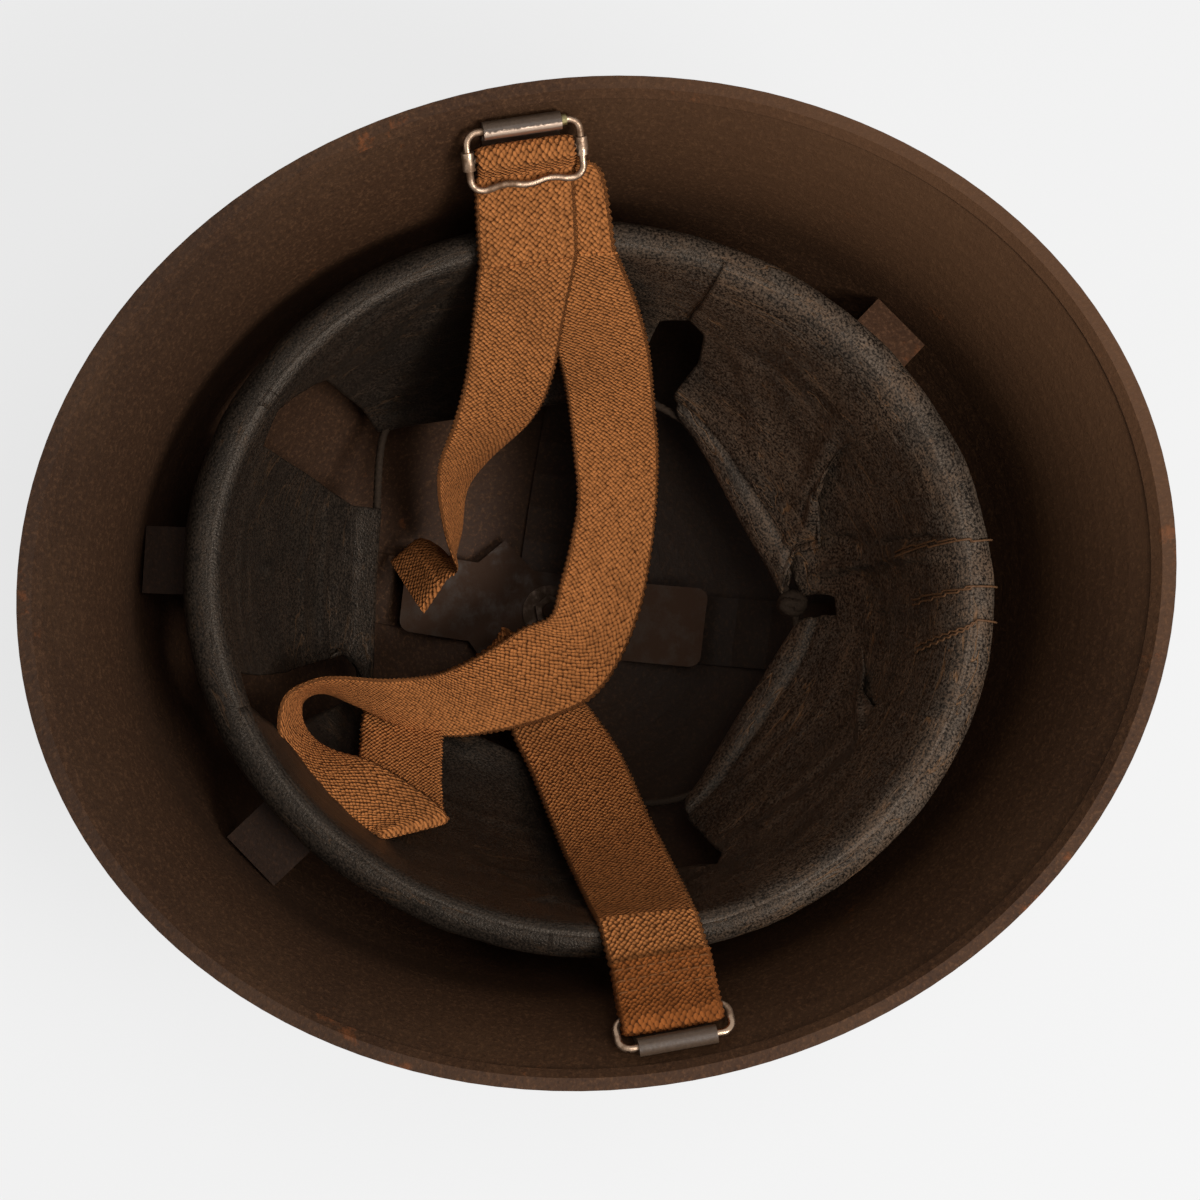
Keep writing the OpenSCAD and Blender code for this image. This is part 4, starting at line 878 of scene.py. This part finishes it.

# %% [markdown]
# ### The webbing's finish
# Colour follows the weave: the backs of the threads are pale ochre, and painted shade darkens the hollows.
# Slow changes of tone along the strap come from sweat and grease, and each grain differs a little. Rough
# fibres take the shine. The sewn end is flatter, because the needle has pressed it. It is also browner and
# darker: partly painted shade, as less light falls on that end, and partly soil, in more patches.

# %% Ochre weave


def webbing_finish(name, pale, dark, soil, depth=1.0):
    """Weave with pale threads, painted shade in its hollows and soiled patches."""
    material, tree, shader, point = finish(name)
    lengths = axes(tree, add(tree, "ShaderNodeUVMap", uv_map="cut").outputs[0])
    weave = place(tree, grains, Across=lengths[0], Along=lengths[1], Pitch=GRAIN_PITCH)
    fuzz = noise_at(tree, point, 2600.0, 4.0)
    tone = noise_at(tree, point, 160.0, 3.0)
    soiled = place(tree, patches, Vector=point, Scale=24.0, Amount=soil, Softness=0.12)
    own_tone = total(tree, product(tree, weave["Tone"], 0.5), (tone, 0.5))
    threads = total(tree, weave["Height"], (maths(tree, "SUBTRACT", fuzz, 0.5), 0.5))
    spun = blend_colours(tree, own_tone, shade(pale, 0.68), shade(pale, 1.36))
    # The dark colour in the hollows between the threads is painted shade
    base = coats(tree, dark, (between(tree, threads, 0.05, 0.60), spun),
                 (product(tree, soiled, 0.45), shade(pale, 0.42)))
    feed(tree, shader, {"Base Color": base, "Roughness": 0.9, "Specular IOR Level": 0.1})
    relief(tree, shader, total(tree, weave["Height"], (fuzz, 0.3)), 0.9 * depth, 0.0007)
    return material


def follow(piece, stands_for):
    """Gives webbing its finish, hides the CAD node that it stands for and bakes its place into its points."""
    piece.data.materials.append(ochre)
    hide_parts(stands_for)
    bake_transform(piece)


GRAIN_PITCH = 1.6
ochre = webbing_finish("ochre webbing", (0.42, 0.150, 0.043), (0.06, 0.018, 0.004), 0.3)
# The sewn end's darker ochre is painted shade, with more soiled patches on top
sewn_ochre_painted_shade = webbing_finish("sewn webbing with painted shade", (0.26, 0.078, 0.0175), (0.055, 0.0165, 0.004), 0.45, 0.6)
print("two finishes of webbing")

# %% [markdown]
# ### Pieces of the strap
# The long run is cut into three: its middle lies in the bowl, and its two ends, which hang on the buckle and
# the loop, are pieces of their own, as is the tail. The folds round the two wires are pieces of their own.

# %% Long run, tail and folds
FIRST_CUT, LAST_CUT, TAIL_HEM = 7, 38, 8.0
chinstrap, length = ribbon("chinstrap_webbing", long_run, first=FIRST_CUT, last=LAST_CUT)
ride(chinstrap, "helmet", ochre, "webbing", "chinstrap")
near_buckle, _ = ribbon("chinstrap_webbing_left", long_run, last=FIRST_CUT)
follow(near_buckle, "chinstrap")
near_loop, _ = ribbon("chinstrap_webbing_right", long_run, first=LAST_CUT)
follow(near_loop, "chinstrap")
tail, tail_length = ribbon("strap_tail_webbing", tail_run, TAIL_HEM)
follow(tail, "strap_tail")
fold_left, _ = ribbon("strap_fold_left_webbing", left_fold)
ride(fold_left, "slide", ochre, "webbing", "strap_fold_left")
fold_right, _ = ribbon("strap_fold_right_webbing", right_fold)
ride(fold_right, "loop_right", sewn_ochre_painted_shade, "webbing", "strap_fold_right")
print("long run", round(length), "mm, tail", round(tail_length), "mm")

# %% [markdown]
# ### Stitches of the sewn end
# Three rows of brown thread hold the fold. Each stitch is a short bar of thread that sinks into the webbing
# at its ends.

# %% Three rows of stitches
sewing_thread, tree, shader, point = finish("sewing thread")
feed(tree, shader, {"Base Color": (0.16, 0.060, 0.019, 1), "Roughness": 0.85, "Specular IOR Level": 0.1})
relief(tree, shader, noise_at(tree, point, 2400.0, 2.0), 0.5, 0.0002)
for row, along in enumerate((21.8, 18.6, 15.2)):
    for stitch, across in enumerate(np.arange(-10.6, 11.0, 2.65)):
        place_along = along + 0.12 * math.sin(5.0 * across + row)
        middle = across + SLANT * (along - PLAIN)
        line = np.array([at_right([place_along, middle + 1.15 * s, 1.72 - 0.55 * s ** 4])
                         for s in np.linspace(-1, 1, 9)])
        ride(tube(f"sewn_end_stitch_{row}{stitch}", line, 0.24, 8), "loop_right", sewing_thread, "thread")
print("three rows of", stitch + 1, "stitches")

# %% [markdown]
# ## Light and floor
# The picture was lit from the helmet's right and rear, so the bowl is bright at the front left and dark
# behind the rear tongues. The key lamp stands there, a weak lamp above reaches down into the bowl, and a
# grey world fills the rest. The floor shows a pale grey to the camera and keeps a little of the helmet's
# shadow.

# %% Studio
world = bpy.data.worlds.new("studio")
world.use_nodes = True
bpy.context.scene.world = world
FILL, BACKDROP_GREY, FLOOR_GREY, FLOOR_SHARE = 0.22, 0.8122, 0.90, 0.85
sky = world.node_tree.nodes["Background"].inputs


def looks_at_it(tree):
    """1 for the rays that show the background: those of the camera, of mirrors and of glass."""
    rays = add(tree, "ShaderNodeLightPath").outputs
    return maths(tree, "MAXIMUM", maths(tree, "MAXIMUM", rays["Is Camera Ray"], rays["Is Glossy Ray"]),
                 rays["Is Transmission Ray"])


seen = looks_at_it(world.node_tree)
sky["Color"].default_value = (1, 1, 1, 1)
world.node_tree.links.new(
    add(world.node_tree, "ShaderNodeMix", {"Factor": seen, "A": FILL, "B": BACKDROP_GREY}).outputs["Result"],
    sky["Strength"])


def lamp(name, direction, height, distance, size, power):
    """A square lamp that looks at the helmet from a compass direction and a height, both in degrees."""
    light = bpy.data.lights.new(name, "AREA")
    light.size, light.energy = size, power
    made = bpy.data.objects.new(name, light)
    bpy.context.scene.collection.objects.link(made)
    a, e = math.radians(direction), math.radians(height)
    out = Vector((math.cos(a) * math.cos(e), math.sin(a) * math.cos(e), math.sin(e)))
    made.location = Vector((0, 0, 0.1)) + out * distance
    made.rotation_mode = "QUATERNION"
    made.rotation_quaternion = (-out).to_track_quat("-Z", "Y")


lamp("key", 44, 54, 1.3, 0.5, 13.6)
lamp("top", 110, 83, 1.3, 0.4, 4)

floor = bpy.data.objects.new("floor", bpy.data.meshes.new("floor"))
floor.data.from_pydata([(-4, -4, 0), (4, -4, 0), (4, 4, 0), (-4, 4, 0)], [], [(0, 1, 2, 3)])
bpy.context.scene.collection.objects.link(floor)
pale_floor, tree, shader, point = finish("pale floor")
shader["Base Color"].default_value = (0.8, 0.8, 0.8, 1)
glow = add(tree, "ShaderNodeEmission", {"Color": (FLOOR_GREY, FLOOR_GREY, FLOOR_GREY, 1)})
either = add(tree, "ShaderNodeMixShader", {
    0: product(tree, looks_at_it(tree), FLOOR_SHARE), 1: tree.nodes["Principled BSDF"].outputs[0],
    2: glow.outputs[0]})
tree.links.new(either.outputs[0], tree.nodes["Material Output"].inputs["Surface"])
floor.data.materials.append(pale_floor)
bpy.context.scene.view_settings.view_transform = "Standard"
print("lamps and floor placed")
